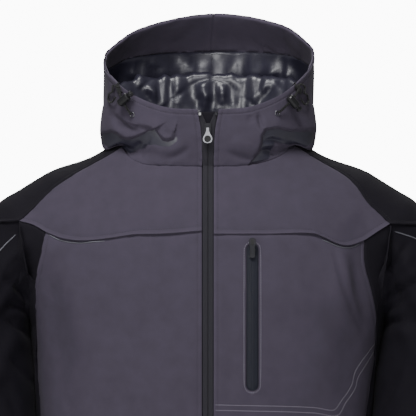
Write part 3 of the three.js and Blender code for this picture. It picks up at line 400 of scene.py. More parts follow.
def torso_only(v):
    """Moves the arm's form back from the lower part of a side panel."""
    return 0, ARM_AWAY * np.clip((1 - v) * 4, 0, 1)


def zip_edge(side, low, high, steps):
    x = LINES[side]["neck"][0][0]
    return on_face([(x, low), (x, (low + high) / 2), (x, high)], SIGN[side], steps, FRONT)


def hem_line(first, last, steps, middle):
    line = settle(spaced([first] + middle + [last], steps))
    line[:, 2] = HEM
    line[0], line[-1] = first, last
    return line


def body_grids(side, g):
    s = SIGN[side]
    low = zip_edge(side, LINES[side]["yoke"][0][1], HEM, BODY * R)
    low[0] = g["yoke"][0]
    hem = hem_line(low[-1], g["side"][-1], YOKE * R, [(s * 110, -132, HEM)])
    front = patch(hem, g["yoke"], low[::-1], g["side"][::-1])
    high = zip_edge(side, LINES[side]["yoke"][0][1], LINES[side]["neck"][0][1], SHOULDER * R)
    high[0], high[-1] = g["yoke"][0], g["neck"][0]
    yoke = patch(np.vstack([g["yoke"], g["tail"][1:]]), g["neck"], high, g["shoulder"][::-1])
    shoulder = patch(g["cap"], g["neck_side"], g["shoulder"][::-1], g["shoulder_back"][::-1])
    top = np.vstack([g["tail"], g["armhole"][1:UNDERARM * R + 1]])
    hem_side = hem_line(g["side"][-1], g["side_back"][-1], len(top) - 1, [(s * 221 - 4, 0, HEM)])
    side_grid = patch(hem_side, top, g["side"][::-1], g["side_back"][::-1], torso_only)
    return {"front": front, "yoke": yoke, "shoulder": shoulder, "side": side_grid}


def back_grid(left, right):
    top = np.vstack([left["shoulder_back"][::-1], left["neck_back"][1:],
                     right["neck_back"][::-1][1:], right["shoulder_back"][1:]])
    middle = [(-100, 112, HEM), (100, 112, HEM)]
    hem = hem_line(left["side_back"][-1], right["side_back"][-1], len(top) - 1, middle)
    edges = [np.vstack([g["side_back"][::-1], g["armhole"][UNDERARM * R + 1:]]) for g in (left, right)]
    return patch(hem, top, *edges)


def sleeve_grid(side, g):
    s = SIGN[side]
    loop = np.vstack([g["cap"], g["armhole"][::-1][1:-1]])
    levels = np.linspace(ARM["z"][-1], ARM["z"][2], 503)

    def axis(z):
        x, y = (np.interp(z, levels, column(ARM["z"], ARM[key], levels)) for key in (side, "y"))
        return x * s, y

    ax, ay = axis(loop[:, 2])
    start = np.arctan2((loop[:, 1] - ay) / ARM_DEPTH, (loop[:, 0] - ax) * s)
    index = np.arange(len(loop))
    start = np.where((index > len(loop) / 2) & (start < 0), start + 2 * np.pi, start)
    even = start[0] + 2 * np.pi * index / len(loop)
    share = np.arange(1, BODY * R + 1)[:, None] / (BODY * R)
    t = share**1.15
    z = loop[:, 2] + (CUFF - loop[:, 2]) * t
    turn = start + (even - start) * np.minimum(t * 1.5, 1)
    ax, ay = axis(z)
    way = unit(np.stack([np.cos(turn) * s, np.sin(turn) * ARM_DEPTH, 0 * turn], axis=-1))
    centre = np.stack([ax, ay, z], axis=-1)
    body = np.broadcast_to(ARM_AWAY * np.clip(share * 4, 0, 1), z.shape)
    rows = cast(centre.reshape(-1, 3), way.reshape(-1, 3), (body.ravel(), 0)).reshape(centre.shape)
    return np.concatenate([loop[None], rows])


# ---------------------------------------------------------------- hood
RIM_WIDER, RIM_RAISED = 4.0, 4.5
CORNER_HANG = np.array([2, 13, 9, 4, 0, 0, 0, 0])  # for each row of HOOD, at the hood's lower corner


def hood_half(side, g):
    """Grid [row, column] of the hood's outer face, from the zip to the middle of the back."""
    s = SIGN[side]
    base = np.vstack([g["neck"], g["neck_side"][1:], g["neck_back"][1:]])
    base = along_axis(base, np.linspace(0, len(base) - 1, (len(base) - 1) * H // R + 1), 0)
    run = np.concatenate([[0], np.cumsum(np.linalg.norm(np.diff(base, axis=0), axis=1))])
    around = run / run[-1]
    beside = np.clip((np.abs(base[:, 0]) - 95) / 15, 0, 1)
    base = base + np.stack([0 * beside, 0 * beside, -0.9 + 0.9 * beside], axis=1)
    keys = HOOD_AT + [2 - HOOD_AT[-2]]
    rows = np.concatenate([HOOD, HOOD[-2:-1] * np.array([-1, 1, 1])])
    track = column(keys, rows, around) * np.array([s, 1, 1])
    up = np.clip(track[..., 2] / 170, 0, 1)
    behind = np.clip((around - 0.5) * 2, 0, 1)[:, None]
    wider = s * RIM_WIDER * smooth((track[..., 2] - 98) / 24) * bell(around - 0.66, 0.14)[:, None]
    across = 8 * up * up * behind + wider
    hung = CORNER_HANG * bell(around - 0.53, 0.1)[:, None]
    higher = 0.02 * track[..., 0] * up + RIM_RAISED * up**3 * behind - hung
    track = track + np.stack([across, 0 * up, higher], axis=-1)
    points = np.concatenate([base[:, None], track], axis=1)
    grid = catmull(points, np.linspace(0, 1, HOOD_ROWS * H + 1))
    return np.swapaxes(grid, 0, 1)


def grid_normals(grid, ring=False):
    if ring:
        along = np.roll(grid, -1, axis=1) - np.roll(grid, 1, axis=1)
    else:
        along = np.gradient(grid, axis=1)
    return unit(np.cross(along, np.gradient(grid, axis=0)))


# ---------------------------------------------------------------- fine relief
def ripple(p, scale, seed, count=7):
    """Smooth uneven relief between about -1 and 1, with waves about scale millimetres long."""
    rng = np.random.default_rng(seed)
    total = np.zeros(p.shape[:-1])
    for _ in range(count):
        way = unit(rng.normal(size=3)) * 2 * np.pi / (scale * rng.uniform(0.7, 1.6))
        total += np.sin(p @ way + rng.uniform(0, 6.28))
    return total / math.sqrt(count)


def creases(p, table):
    """Ridges and troughs along lines seen from the front or the back."""
    total = np.zeros(p.shape[:-1])
    for line, wide, high, face in table:
        near, along = np.full(total.shape, 1e9), np.zeros(total.shape)
        runs = [math.dist(a, b) for a, b in zip(line, line[1:])]
        done = 0.0
        for a, b, run in zip(line, line[1:], runs):
            t, far, _ = beside(p, a, b)
            along = np.where(far < near, (done + run * t) / sum(runs), along)
            near = np.minimum(far, near)
            done += run
        total += high * bell(near, wide) * arch(along, 0.86) ** 0.7 * np.clip(p[..., 1] * face / 25, 0, 1)
    return total


def rolls(p, table, sharp=4.2):
    """Steps between a roll and the hollow under it, seen from the front."""
    total = np.zeros(p.shape[:-1])
    for high, low, fall_up, fall_down, *line in table:
        near, along = np.full(total.shape, 1e9), np.zeros(total.shape)
        d = near
        for k, (a, b) in enumerate(zip(line, line[1:])):
            t, far, side = beside(p, a, b)
            closer = far < near
            near, d = np.where(closer, far, near), np.where(closer, far * side, d)
            along = np.where(closer, (k + t) / (len(line) - 1), along)
        step = smooth((d / sharp + 1) / 2)
        height = high * bell(d, fall_up) * step - low * bell(d, fall_down) * (1 - step)
        total += height * arch(along, 0.8) ** 0.6 * np.clip(-p[..., 1] / 20, 0, 1)
    return total


def along_axis(grid, places, axis):
    """The grid read at fractional places along one axis, smoothly."""
    grid = np.moveaxis(grid, axis, 0)
    i = np.clip(places.astype(int), 0, len(grid) - 2)
    t = (places - i).reshape((-1,) + (1,) * (grid.ndim - 1))
    a, b = grid[i], grid[i + 1]
    before, after = grid[np.maximum(i - 1, 0)], grid[np.minimum(i + 2, len(grid) - 1)]
    out = 0.5 * (2 * a + (b - before) * t + (2 * before - 5 * a + 4 * b - after) * t**2
                 + (3 * a - before - 3 * b + after) * t**3)
    return np.moveaxis(out, 0, axis)


def reach_from(grid, axis, flip):
    """Distance of every point from one border, along the cloth."""
    steps = np.linalg.norm(np.diff(grid, axis=axis), axis=-1)
    start = np.zeros_like(np.take(steps, [0], axis=axis))
    run = np.concatenate([start, np.cumsum(steps, axis=axis)], axis=axis)
    if flip:
        run = np.take(run, [-1], axis=axis) - run
    return run


def border_places(grid, axis, near_first, near_last):
    """Index places along an axis with extra rows at set distances from its two borders."""
    other = 1 - axis
    steps = np.linalg.norm(np.diff(grid, axis=axis), axis=-1).mean(axis=other)
    run = np.concatenate([[0], np.cumsum(steps)])
    base = np.arange(len(run), dtype=float)
    first = np.interp(near_first, run, base)
    last = np.interp(run[-1] - np.array(near_last), run, base)
    extra = np.concatenate([first, last])
    keep = base[(base == 0) | (base == base[-1]) | (np.abs(base[:, None] - extra[None]).min(axis=1) > 0.15)]
    return np.unique(np.concatenate([keep, extra]))


# Kinds of border: how far the cloth stands out there and how far in that reaches
EDGES = {"seam": (-1.0, 1.4), "under": (-1.6, 2.6), "lip": (1.7, 4.6), "free": (-0.3, 0.8)}
SEAMED = dict(bottom="seam", top="seam", left="seam", right="seam")
BORDER_ROWS = [0.5, 1.4, 2.8]  # rows of points at these distances from each border
STITCH_DIP, STITCH_REACH = 0.55, 1.2
SIDES = {"bottom": (0, False), "top": (0, True), "left": (1, False), "right": (1, True)}


class Cloth:
    """A grid of points on the garment, with a kind of border and perhaps a row of stitches on each side."""

    def __init__(self, grid, outward, edges, stitch, ring=False):
        near = {}
        for side in edges:
            beside_stitch = [stitch[side] + d for d in (-1.5, 0, 1.5)] if side in stitch else []
            near[side] = sorted(BORDER_ROWS + beside_stitch)
        grid = along_axis(grid, border_places(grid, 0, near["bottom"], near["top"]), 0)
        if not ring:
            grid = along_axis(grid, border_places(grid, 1, near["left"], near["right"]), 1)
        self.grid, self.stitch, self.ring = grid, stitch, ring
        self.normals = grid_normals(grid, ring)
        if np.sum(self.normals * outward(grid)) < 0:
            self.normals = -self.normals
        self.away = {side: reach_from(grid, *SIDES[side]) for side in edges}
        self.dip = np.zeros(grid.shape[:2])
        for side, kind in edges.items():
            high, reach = EDGES[kind]
            self.dip += high * bell(self.away[side], reach)
            if side in stitch:
                self.dip -= STITCH_DIP * bell(self.away[side] - stitch[side], STITCH_REACH)

    def near_border(self, *skip):
        return np.min([far for side, far in self.away.items() if side not in skip], axis=0)

    def pucker(self, high, wave, deep, seed):
        """Short ripples square to the seams that fade into the cloth."""
        wavy = ripple(self.grid, wave, seed, 9)
        return high * wavy * bell(self.near_border(), deep)

    def outer(self, relief):
        return self.grid + self.normals * (self.dip + relief)[..., None]


def stitch_path(cloth, surface, side, at):
    """Points and normals of a line at a set distance from one side of a cloth."""
    axis, _ = SIDES[side]
    far = cloth.away[side]
    far, points, normals = (np.moveaxis(a, axis, 0) for a in (far, surface, cloth.normals))
    if far[0, 0] > far[-1, 0]:
        far, points, normals = far[::-1], points[::-1], normals[::-1]
    line, ways = [], []
    for k in range(far.shape[1]):
        line.append([np.interp(at, far[:, k], points[:, k, c]) for c in range(3)])
        ways.append([np.interp(at, far[:, k], normals[:, k, c]) for c in range(3)])
    return np.array(line), unit(np.array(ways))


THREADS = {}


def sew(kind, line, ways, pitch=3.4, share=0.58, wide=0.95, high=0.4, sunk=0.12):
    """Adds a row of stitches along a line to the thread of that kind."""
    run = np.concatenate([[0], np.cumsum(np.linalg.norm(np.diff(line, axis=0), axis=1))])
    count = max(1, int(run[-1] / pitch))
    rng = np.random.default_rng(int(run[-1] * 10) % 9973)
    middles = (np.arange(count) + 0.5) * run[-1] / count + rng.uniform(-0.12, 0.12, count)
    read = lambda at, table: np.stack([np.interp(at, run, table[:, c]) for c in range(3)], axis=1)
    half = pitch * share / 2
    a, b = read(middles - half, line), read(middles + half, line)
    n = unit(read(middles, ways))
    across = unit(np.cross(unit(b - a), n)) * wide / 2
    middle = read(middles, line)
    a, b = a - n * sunk, b - n * sunk
    points = np.stack([a, middle - across, middle + n * high, middle + across, b], axis=1)
    THREADS.setdefault(kind, []).append(points)


# ---------------------------------------------------------------- meshes
def mesh_object(name, points, faces, material, uv=None, edge=None, smooth_faces=True):
    mesh = bpy.data.meshes.new(name)
    points = np.asarray(points, np.float32) / 1000
    faces = np.asarray(faces, np.int32)
    mesh.from_pydata([], [], [])
    mesh.vertices.add(len(points))
    mesh.vertices.foreach_set("co", points.ravel())
    size = faces.shape[1]
    mesh.loops.add(faces.size)
    mesh.loops.foreach_set("vertex_index", faces.ravel())
    mesh.polygons.add(len(faces))
    mesh.polygons.foreach_set("loop_start", np.arange(len(faces), dtype=np.int32) * size)
    mesh.update(calc_edges=True)
    mesh.validate()
    if uv is not None:
        layer = mesh.uv_layers.new(name="UVMap")
        layer.data.foreach_set("uv", np.asarray(uv, np.float32).ravel())
    if edge is not None:
        layer = mesh.attributes.new("edge", "FLOAT", "POINT")
        layer.data.foreach_set("value", np.asarray(edge, np.float32).ravel())
    if smooth_faces:
        mesh.polygons.foreach_set("use_smooth", np.ones(len(mesh.polygons), bool))
    obj = bpy.data.objects.new(name, mesh)
    bpy.context.scene.collection.objects.link(obj)
    mesh.materials.append(material)
    return obj


def wall_mesh(name, outer, inner, material, ring=False, edge=None):
    """A closed wall between two grids, with UVs in metres along the cloth."""
    rows, count = outer.shape[:2]
    layer = rows * count
    index = np.arange(layer).reshape(rows, count)
    if ring:
        index = np.hstack([index, index[:, :1]])
    a, b, c, d = index[:-1, :-1], index[:-1, 1:], index[1:, 1:], index[1:, :-1]
    quads = lambda *corners: np.stack([k.ravel() for k in corners], axis=1)
    faces = [quads(a, b, c, d), quads(d, c, b, a) + layer]
    rims = [(index[0, 1:], index[0, :-1]), (index[-1, :-1], index[-1, 1:])]
    if not ring:
        rims += [(index[:-1, 0], index[1:, 0]), (index[1:, -1], index[:-1, -1])]
    for first, second in rims:
        faces.append(quads(first, second, second + layer, first + layer))
    faces = np.vstack(faces)
    wide = outer if not ring else np.concatenate([outer, outer[:, :1]], axis=1)
    u = reach_from(wide, 1, False) / 1000
    u = u - u.mean(axis=1, keepdims=True)
    v = reach_from(wide, 0, False) / 1000
    flat = np.stack([u, v], axis=-1)
    corner = [flat[:-1, :-1], flat[:-1, 1:], flat[1:, 1:], flat[1:, :-1]]
    top = np.stack([k.reshape(-1, 2) for k in corner], axis=1)
    at = flat[:, :count].reshape(-1, 2)
    rim = at[faces[2 * len(top):] % layer]
    uv = np.concatenate([top, top[:, ::-1], rim])
    points = np.concatenate([outer.reshape(-1, 3), inner.reshape(-1, 3)])
    volume = np.sum(points[faces[:, 0]] * np.cross(points[faces[:, 1]], points[faces[:, 2]]))
    volume += np.sum(points[faces[:, 0]] * np.cross(points[faces[:, 2]], points[faces[:, 3]]))
    if volume < 0:
        faces, uv = faces[:, ::-1], uv[:, ::-1]
    worn = None if edge is None else np.concatenate([edge.ravel(), edge.ravel()])
    return mesh_object(name, points, faces, material, uv, worn)


# ---------------------------------------------------------------- materials
class Nodes:
    """Short hand for building a shader's node tree."""

    def __init__(self, name, **shader):
        self.material = bpy.data.materials.new(name)
        self.material.use_nodes = True
        self.tree = self.material.node_tree
        self.shader = self.tree.nodes["Principled BSDF"]
        for key, value in shader.items():
            self.shader.inputs[key.replace("_", " ")].default_value = value

    def add(self, kind, inputs=(), **settings):
        node = self.tree.nodes.new(kind)
        for key, value in settings.items():
            setattr(node, key, value)
        for key, value in dict(inputs).items():
            self.put(node.inputs[key], value)
        return node

    def put(self, socket, value):
        if isinstance(value, bpy.types.NodeSocket):
            self.tree.links.new(value, socket)
        else:
            socket.default_value = value

    def math(self, kind, a, b=0.0):
        return self.add("ShaderNodeMath", {0: a, 1: b}, operation=kind).outputs[0]

    def noise(self, where, scale, detail=2.0, rough=0.5):
        return self.add("ShaderNodeTexNoise", {"Vector": where, "Scale": scale, "Detail": detail,
                                               "Roughness": rough}).outputs["Fac"]

    def ramp(self, value, low, high, to_low, to_high):
        return self.add("ShaderNodeMapRange", {"Value": value, "From Min": low, "From Max": high,
                                               "To Min": to_low, "To Max": to_high}).outputs[0]

    def vary(self, value, to_low, to_high):
        """A noise's usual range spread over another one."""
        return self.ramp(value, 0.3, 0.7, to_low, to_high)

    def waves(self, value, length):
        return self.math("SINE", self.math("MULTIPLY", value, 2 * math.pi / length))

    def finish(self, colour, tone, roughness, normal):
        """The material: its colour times a tone, its roughness and its relief."""
        wired = {"Base Color": self.shade(colour, tone), "Roughness": roughness, "Normal": normal}
        for key, value in wired.items():
            self.put(self.shader.inputs[key], value)
        return self.material

    def places(self):
        node = self.tree.nodes.new("ShaderNodeTexCoord")
        return node.outputs["UV"], node.outputs["Object"]

    def shade(self, colour, by):
        """The colour made lighter or darker by a factor."""
        grey = self.add("ShaderNodeCombineColor", {0: by, 1: by, 2: by}).outputs[0]
        return self.add("ShaderNodeMix", {0: 1.0, 6: (*colour, 1), 7: grey}, data_type="RGBA",
                        blend_type="MULTIPLY").outputs[2]

    def bump(self, height, distance, strength=1.0, under=None):
        node = self.add("ShaderNodeBump", {"Height": height, "Distance": distance, "Strength": strength})
        if under is not None:
            self.put(node.inputs["Normal"], under)
        return node.outputs[0]


def softshell(name, colour, roughness=0.78, sheen=0.02):
    """Bonded woven face: fine plain weave, melange yarns, slight pressing marks and paler worn edges."""
    n = Nodes(name, Sheen_Weight=sheen, Sheen_Roughness=0.45, Specular_IOR_Level=0.14)
    uv, place = n.places()
    split = n.add("ShaderNodeSeparateXYZ", {0: uv})
    weave = n.math("MULTIPLY", n.waves(split.outputs[0], 0.0008), n.waves(split.outputs[1], 0.0008))
    soft = n.noise(place, 55, 3, 0.55)
    yarn = n.noise(uv, 1900, 2, 0.6)
    edge = n.add("ShaderNodeAttribute", attribute_name="edge").outputs["Fac"]
    worn = n.math("MULTIPLY", n.math("MULTIPLY", edge, n.noise(place, 320, 3, 0.6)), 0.28)
    tone = n.math("ADD", n.math("ADD", n.vary(soft, 0.93, 1.07), n.vary(yarn, -0.07, 0.07)), worn)
    rough = n.ramp(soft, 0.25, 0.75, roughness - 0.06, roughness + 0.06)
    fine = n.bump(n.math("ADD", weave, n.math("MULTIPLY", yarn, 1.2)), 0.00002)
    return n.finish(colour, tone, rough, n.bump(soft, 0.0012, 0.35, fine))


def satin_cloth(name, colour):
    """Thin shiny lining: close weave, soft crumples between the quilting lines."""
    n = Nodes(name, Sheen_Weight=0.0, Specular_IOR_Level=0.62, Anisotropic=0.35)
    uv, place = n.places()
    yarn = n.noise(n.add("ShaderNodeMapping", {"Vector": uv, "Scale": (0.25, 1.0, 1.0)}).outputs[0], 2600)
    crumple = n.noise(place, 60, 2, 0.45)
    small = n.noise(place, 200)
    tone = n.math("ADD", n.vary(crumple, 0.85, 1.1), n.vary(yarn, -0.06, 0.06))
    wrinkled = n.bump(small, 0.0004, 0.2, n.bump(yarn, 0.00003))
    return n.finish(colour, tone, n.vary(crumple, 0.3, 0.38), n.bump(crumple, 0.0015, 0.2, wrinkled))


def ribbed(name, colour, pitch, roughness=0.7):
    """Narrow woven goods with ribs across them, such as zip tape and webbing."""
    n = Nodes(name, Sheen_Weight=0.1, Specular_IOR_Level=0.35)
    uv, place = n.places()
    split = n.add("ShaderNodeSeparateXYZ", {0: uv})
    rib, cross = n.waves(split.outputs[1], pitch), n.waves(split.outputs[0], pitch * 0.8)
    dirt = n.noise(place, 240, 3)
    tone = n.math("ADD", n.vary(dirt, 0.88, 1.1), n.ramp(rib, -1, 1, -0.14, 0.14))
    relief = n.bump(n.math("ADD", rib, n.math("MULTIPLY", cross, 0.5)), 0.00012)
    return n.finish(colour, tone, n.vary(dirt, roughness - 0.08, roughness + 0.08), relief)


def hard(name, colour, roughness, metallic=0.0, scratch=0.25):
    """Moulded plastic or cast metal: uneven gloss, fine scratches and paler rubbed places."""
    n = Nodes(name, Metallic=metallic)
    _, place = n.places()
    cloudy = n.noise(place, 300, 3)
    lines = n.noise(n.add("ShaderNodeMapping", {"Vector": place, "Scale": (1, 1, 9)}).outputs[0], 1500)
    tone = n.math("ADD", n.vary(cloudy, 0.85, 1.1), n.ramp(lines, 0.4, 0.7, 0, scratch * 0.3))
    relief = n.bump(n.math("ADD", cloudy, n.math("MULTIPLY", lines, 0.4)), 0.00009, 0.6)
    return n.finish(colour, tone, n.vary(lines, roughness - 0.07, roughness + 0.1), relief)


def beads(name, colour):
    """Reflective tape: grey film with tiny glass beads."""
    n = Nodes(name, Metallic=0.55, Specular_IOR_Level=0.6)
    uv, place = n.places()
    cells = n.add("ShaderNodeTexVoronoi", {"Vector": uv, "Scale": 2600.0}).outputs["Distance"]
    dirt = n.noise(place, 200, 3)
    tone = n.math("ADD", n.vary(dirt, 0.85, 1.08), n.ramp(cells, 0, 0.6, 0.06, -0.1))
    return n.finish(colour, tone, n.vary(dirt, 0.35, 0.5), n.bump(cells, 0.0001, 0.6))


GREY = softshell("softshell_grey", (0.077, 0.065, 0.094), 0.8, 0.05)
# a lighter copy of the black softshell for the shoulders and side panels: painted light, as the sleeves of
# the same cloth hang in shade
BLACK_PAINTED_LIT = softshell("softshell_black_painted_lit", (0.0135, 0.0118, 0.017))
BLACK = softshell("softshell_black", (0.0085, 0.0072, 0.0115))
SATIN = satin_cloth("lining_satin", (0.026, 0.0245, 0.04))
TAPE = ribbed("zip_tape_cloth", (0.025, 0.023, 0.032), 0.0012)
NAVY = ribbed("pocket_zip_cloth", (0.0085, 0.0098, 0.022), 0.0012, 0.5)
WEBBING = ribbed("webbing", (0.012, 0.012, 0.014), 0.0014, 0.6)
ELASTIC = ribbed("elastic_cord", (0.012, 0.012, 0.013), 0.001, 0.5)
REFLECT = beads("reflective_film", (0.2, 0.2, 0.235))
METAL = hard("polished_zinc", (0.36, 0.36, 0.39), 0.3, 1.0)
GUNMETAL = hard("black_nickel", (0.03, 0.03, 0.034), 0.28, 0.9)
RUBBER = hard("soft_insert", (0.012, 0.012, 0.013), 0.5)
PLASTIC = hard("moulded_plastic", (0.014, 0.014, 0.016), 0.34, scratch=0.4)
WHITE = hard("pale_plastic", (0.62, 0.62, 0.63), 0.4)
# the "grey" thread of the grey panels is near black: partly its own dark colour, partly painted shade of the
# sunk stitch channel
THREAD = {kind: ribbed(f"thread_{kind}", colour, 0.0009, rough) for kind, colour, rough in (
    ("grey", (0.012, 0.01, 0.016), 0.7), ("pale", (0.8, 0.78, 0.86), 0.6),
    ("black", (0.008, 0.008, 0.01), 0.7), ("light", (0.72, 0.7, 0.78), 0.6))}


# ---------------------------------------------------------------- camera, light, floor
def look(name, place, size, power, target=(0, 0, -0.1), only=()):
    """A soft rectangular light, or one that lights only some pieces."""
    light = bpy.data.lights.new(name, "AREA")
    light.shape, light.size, light.size_y = "RECTANGLE", size[0], size[1]
    light.energy = power
    obj = bpy.data.objects.new(name, light)
    obj.location = place
    obj.rotation_euler = (Vector(target) - Vector(place)).to_track_quat("-Z", "Y").to_euler()
    bpy.context.scene.collection.objects.link(obj)
    if only:
        lit = bpy.data.collections.new(name + "_lit")
        for piece in only:
            lit.objects.link(bpy.data.objects[piece])
        obj.light_linking.receiver_collection = lit


CAMERA_AT = (0, -25, -0.0754)
FRONT_FAR, FRONT_WIDE = 24.89, 0.5408  # from the camera to the jacket's front, and what the frame shows there
SENSOR = 36
SKY_LIGHT, SKY_SEEN = 0.14, 11.0  # the sky's strength as a light, and as the camera sees it
FLOOR_LEVEL, FLOOR_HALF = -730, 6000


def set_stage():
    scene = bpy.context.scene
    lens = bpy.data.cameras.new("photo_camera")
    lens.sensor_width, lens.lens = SENSOR, SENSOR * FRONT_FAR / FRONT_WIDE
    lens.clip_end = 120
    camera = bpy.data.objects.new("photo_camera", lens)
    camera.location, camera.rotation_euler = CAMERA_AT, (math.pi / 2, 0, 0)
    scene.collection.objects.link(camera)
    scene.camera = camera
    world = bpy.data.worlds.new("studio")
    world.use_nodes = True
    sky = world.node_tree.nodes["Background"]
    sky.inputs[0].default_value = (1, 1, 1, 1)
    seen = world.node_tree.nodes.new("ShaderNodeLightPath")
    bright = world.node_tree.nodes.new("ShaderNodeMapRange")
    bright.inputs["To Min"].default_value, bright.inputs["To Max"].default_value = SKY_LIGHT, SKY_SEEN
    world.node_tree.links.new(seen.outputs["Is Camera Ray"], bright.inputs["Value"])
    world.node_tree.links.new(bright.outputs[0], sky.inputs[1])
    scene.world = world
    look("key", (-0.5, -1.8, 2.8), (1.6, 1.1), 92)
    look("front", (-0.7, -3.1, 0.1), (4.0, 1.4), 30)
    look("rim", (0.2, 2.2, 2.2), (2.4, 1.0), 24)
    pale_floor()


def pale_floor():
    n = Nodes("pale_floor", Roughness=0.9)
    _, place = n.places()
    tone = n.vary(n.noise(place, 4, 3), 0.97, 1.03)
    n.put(n.shader.inputs["Base Color"], n.shade((0.74, 0.74, 0.74), tone))
    corners = [(x * FLOOR_HALF, y * FLOOR_HALF, FLOOR_LEVEL) for x, y in ((-1, -1), (1, -1), (1, 1), (-1, 1))]
    return mesh_object("floor", corners, [(0, 1, 2, 3)], n.material, smooth_faces=False)


# ---------------------------------------------------------------- pieces
def settle_in(obj, slot, *nodes, body="root"):
    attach(obj, body)
    if nodes:
        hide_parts(*nodes)
    return obj


def panel(name, cloth, relief, material):
    """A closed wall on the cloth's grid and its topstitching; the size of its cut is worked out and not kept.
    """
    kind = "grey" if material == GREY else "black"
    surface = cloth.outer(relief)
    inner = cloth.outer(relief - cloth.dip) - cloth.normals * CLOTH
    edge = bell(cloth.near_border(), 2.2)
    wall = wall_mesh(f"{name}_cloth", surface, inner, material, cloth.ring, edge)
    obj = settle_in(wall, f"shell_{kind}", name)
    for side, at in cloth.stitch.items():
        sew(kind, *stitch_path(cloth, surface, side, at))
    declare(cloth.grid)


def declare(grid):
    """Works out the cut's size: the width and length of the flat cloth and its area, and keeps none of it."""
    across = np.cross(grid[1:, 1:] - grid[:-1, :-1], grid[1:, :-1] - grid[:-1, 1:])
    area = np.linalg.norm(across, axis=-1).sum() / 2 / 1e6
    wide, long = (np.linalg.norm(np.diff(grid, axis=a), axis=-1).sum(axis=a).max() / 1000 for a in (1, 0))
    area = min(max(area, 0.31 * wide * long), wide * long)


def outward(grid):
    return grid * np.array([1, 1, 0]) / 200


def seen_from(face, rows):
    """Creases on one face of the garment, from rows of half width, height and points (x, z) of a line."""
    return [(line, wide, high, face) for wide, high, *line in rows]


FRONT_RIGHT = seen_from(FRONT, [
    (3, -2.6, (164, -130), (178, -182), (187, -208), (200, -234), (211, -246)),
    (7, -4.2, (190, -138), (194, -182), (205, -230)), (6, 3, (176, -136), (186, -180), (199, -222)),
    (12, 1.6, (154, -134), (166, -182), (178, -222), (196, -252)),
    (22, -1.2, (30, -200), (34, -260), (30, -330)), (26, 1.4, (90, -330), (120, -300), (150, -240)),
])
FRONT_LEFT = seen_from(FRONT, [
    (12, -2, (-208, -150), (-200, -200), (-192, -260), (-190, -320)),
    (14, 1.8, (-186, -135), (-176, -180), (-172, -240)), (30, -1.4, (-60, -150), (-70, -220), (-64, -300)),
    (26, 1.2, (-120, -330), (-100, -260), (-110, -180)),
])
LOWER = seen_from(FRONT, [
    (18, 2.6, (-200, -400), (-120, -440), (-40, -430)), (20, 2.6, (-190, -500), (-110, -530), (-40, -560)),
    (20, 2.6, (190, -380), (130, -430), (50, -450)), (22, 2.8, (196, -520), (120, -540), (50, -590)),
    (20, 2, (-180, -620), (-90, -600), (-30, -640)), (20, 2, (170, -640), (90, -620), (30, -650)),
])
BACK = seen_from(BEHIND, [
    (16, 3, (-200, -150), (-140, -200), (-90, -280)), (16, 3, (196, -150), (150, -210), (96, -300)),
    (18, 2.4, (-60, -60), (-20, -110), (30, -120), (70, -60)),
    (18, 2.2, (-150, -60), (-120, -140), (-110, -220)), (18, 2.2, (150, -70), (124, -150), (116, -240)),
    (18, 3.4, (-180, -380), (-60, -410), (60, -390), (180, -420)),
    (20, 3.2, (-186, -500), (-60, -540), (90, -520)), (20, 2.8, (176, -560), (60, -600), (-90, -590)),
])
SLEEVE_RIGHT = seen_from(FRONT, [
    (3.4, -3.6, (232, -156), (246, -143), (261, -121)), (7, 3.2, (236, -168), (252, -154), (268, -134)),
    (3.4, -3.6, (229, -198), (242, -187), (270, -171), (300, -160)),
    (7, 2.8, (234, -186), (250, -172), (276, -158)),
    (3.2, -3.2, (229, -210), (244, -204), (255, -192), (264, -182)),
    (6, 2.6, (238, -217), (250, -212), (268, -196)),
    (4, -3.4, (230, -232), (242, -223), (262, -224), (290, -232)),
    (9, 2.8, (234, -244), (252, -236), (280, -244)), (6, -3, (226, -330), (240, -308), (252, -286)),
    (9, 2.4, (240, -330), (256, -300), (262, -270)),
])
SLEEVE_LEFT = seen_from(FRONT, [
    (3.6, -3.4, (-276, -158), (-255, -175), (-242, -188), (-235, -198)),
    (7, 3, (-270, -176), (-252, -190), (-238, -204)),
    (3.2, -3.2, (-266, -210), (-257, -201), (-247, -204), (-236, -212)),
    (5, 2.4, (-262, -216), (-250, -212), (-240, -220)),
    (3.6, -3.6, (-272, -212), (-257, -225), (-242, -236), (-234, -246)),
    (8, 3, (-276, -228), (-258, -240), (-240, -256)),
    (5, -3.2, (-276, -256), (-257, -273), (-242, -290), (-230, -306)),
    (9, 2.6, (-276, -278), (-258, -296), (-242, -320)), (6, -2.6, (-272, -299), (-257, -321), (-247, -350)),
    (4, -2.6, (-246, -140), (-258, -150), (-266, -164)),
])
# Folds of the right sleeve that the left one has too, 2 mm further out and 6 mm lower
SLEEVE_BOTH = seen_from(FRONT, [
    (12, 2, (300, -140), (322, -180), (338, -240)), (11, 3.4, (330, -400), (290, -420), (240, -436)),
    (10, 3, (326, -450), (280, -470), (240, -470)), (11, 2.8, (330, -520), (290, -548), (246, -556)),
]) + seen_from(BEHIND, [
    (12, 3.4, (236, -130), (270, -190), (306, -290)), (12, 3, (240, -180), (270, -260), (300, -360)),
    (12, 3.2, (326, -430), (280, -450), (240, -440)), (12, 2.8, (326, -560), (280, -580), (246, -570)),
])
YOKE_FOLDS = seen_from(FRONT, [
    (20, 1, (-150, -40), (-120, -70), (-80, -96)), (18, 1.2, (160, -50), (120, -70), (80, -92)),
    (18, -0.9, (-60, -24), (-50, -50), (-30, -80)), (12, 1.4, (196, -66), (180, -90), (160, -112)),
    (12, 1.4, (-206, -66), (-190, -90), (-170, -108)),
])


def held_flat(grid):
    """Relief fades where the cloth is held by the zip tapes, the collar's middle and the chest zip."""
    x, z = grid[..., 0], grid[..., 2]
    front = grid[..., 1] < 0
    zipped = np.where(front, smooth((np.abs(x) - 8) / 22), 1)
    dx = np.maximum(np.abs(x - 57.7) - 8.1, 0)
    dz = np.maximum(np.maximum(POCKET["bottom"] - z, z - POCKET["top"]), 0)
    return zipped * np.where(front, smooth((np.hypot(dx, dz) - 3) / 22), 1)


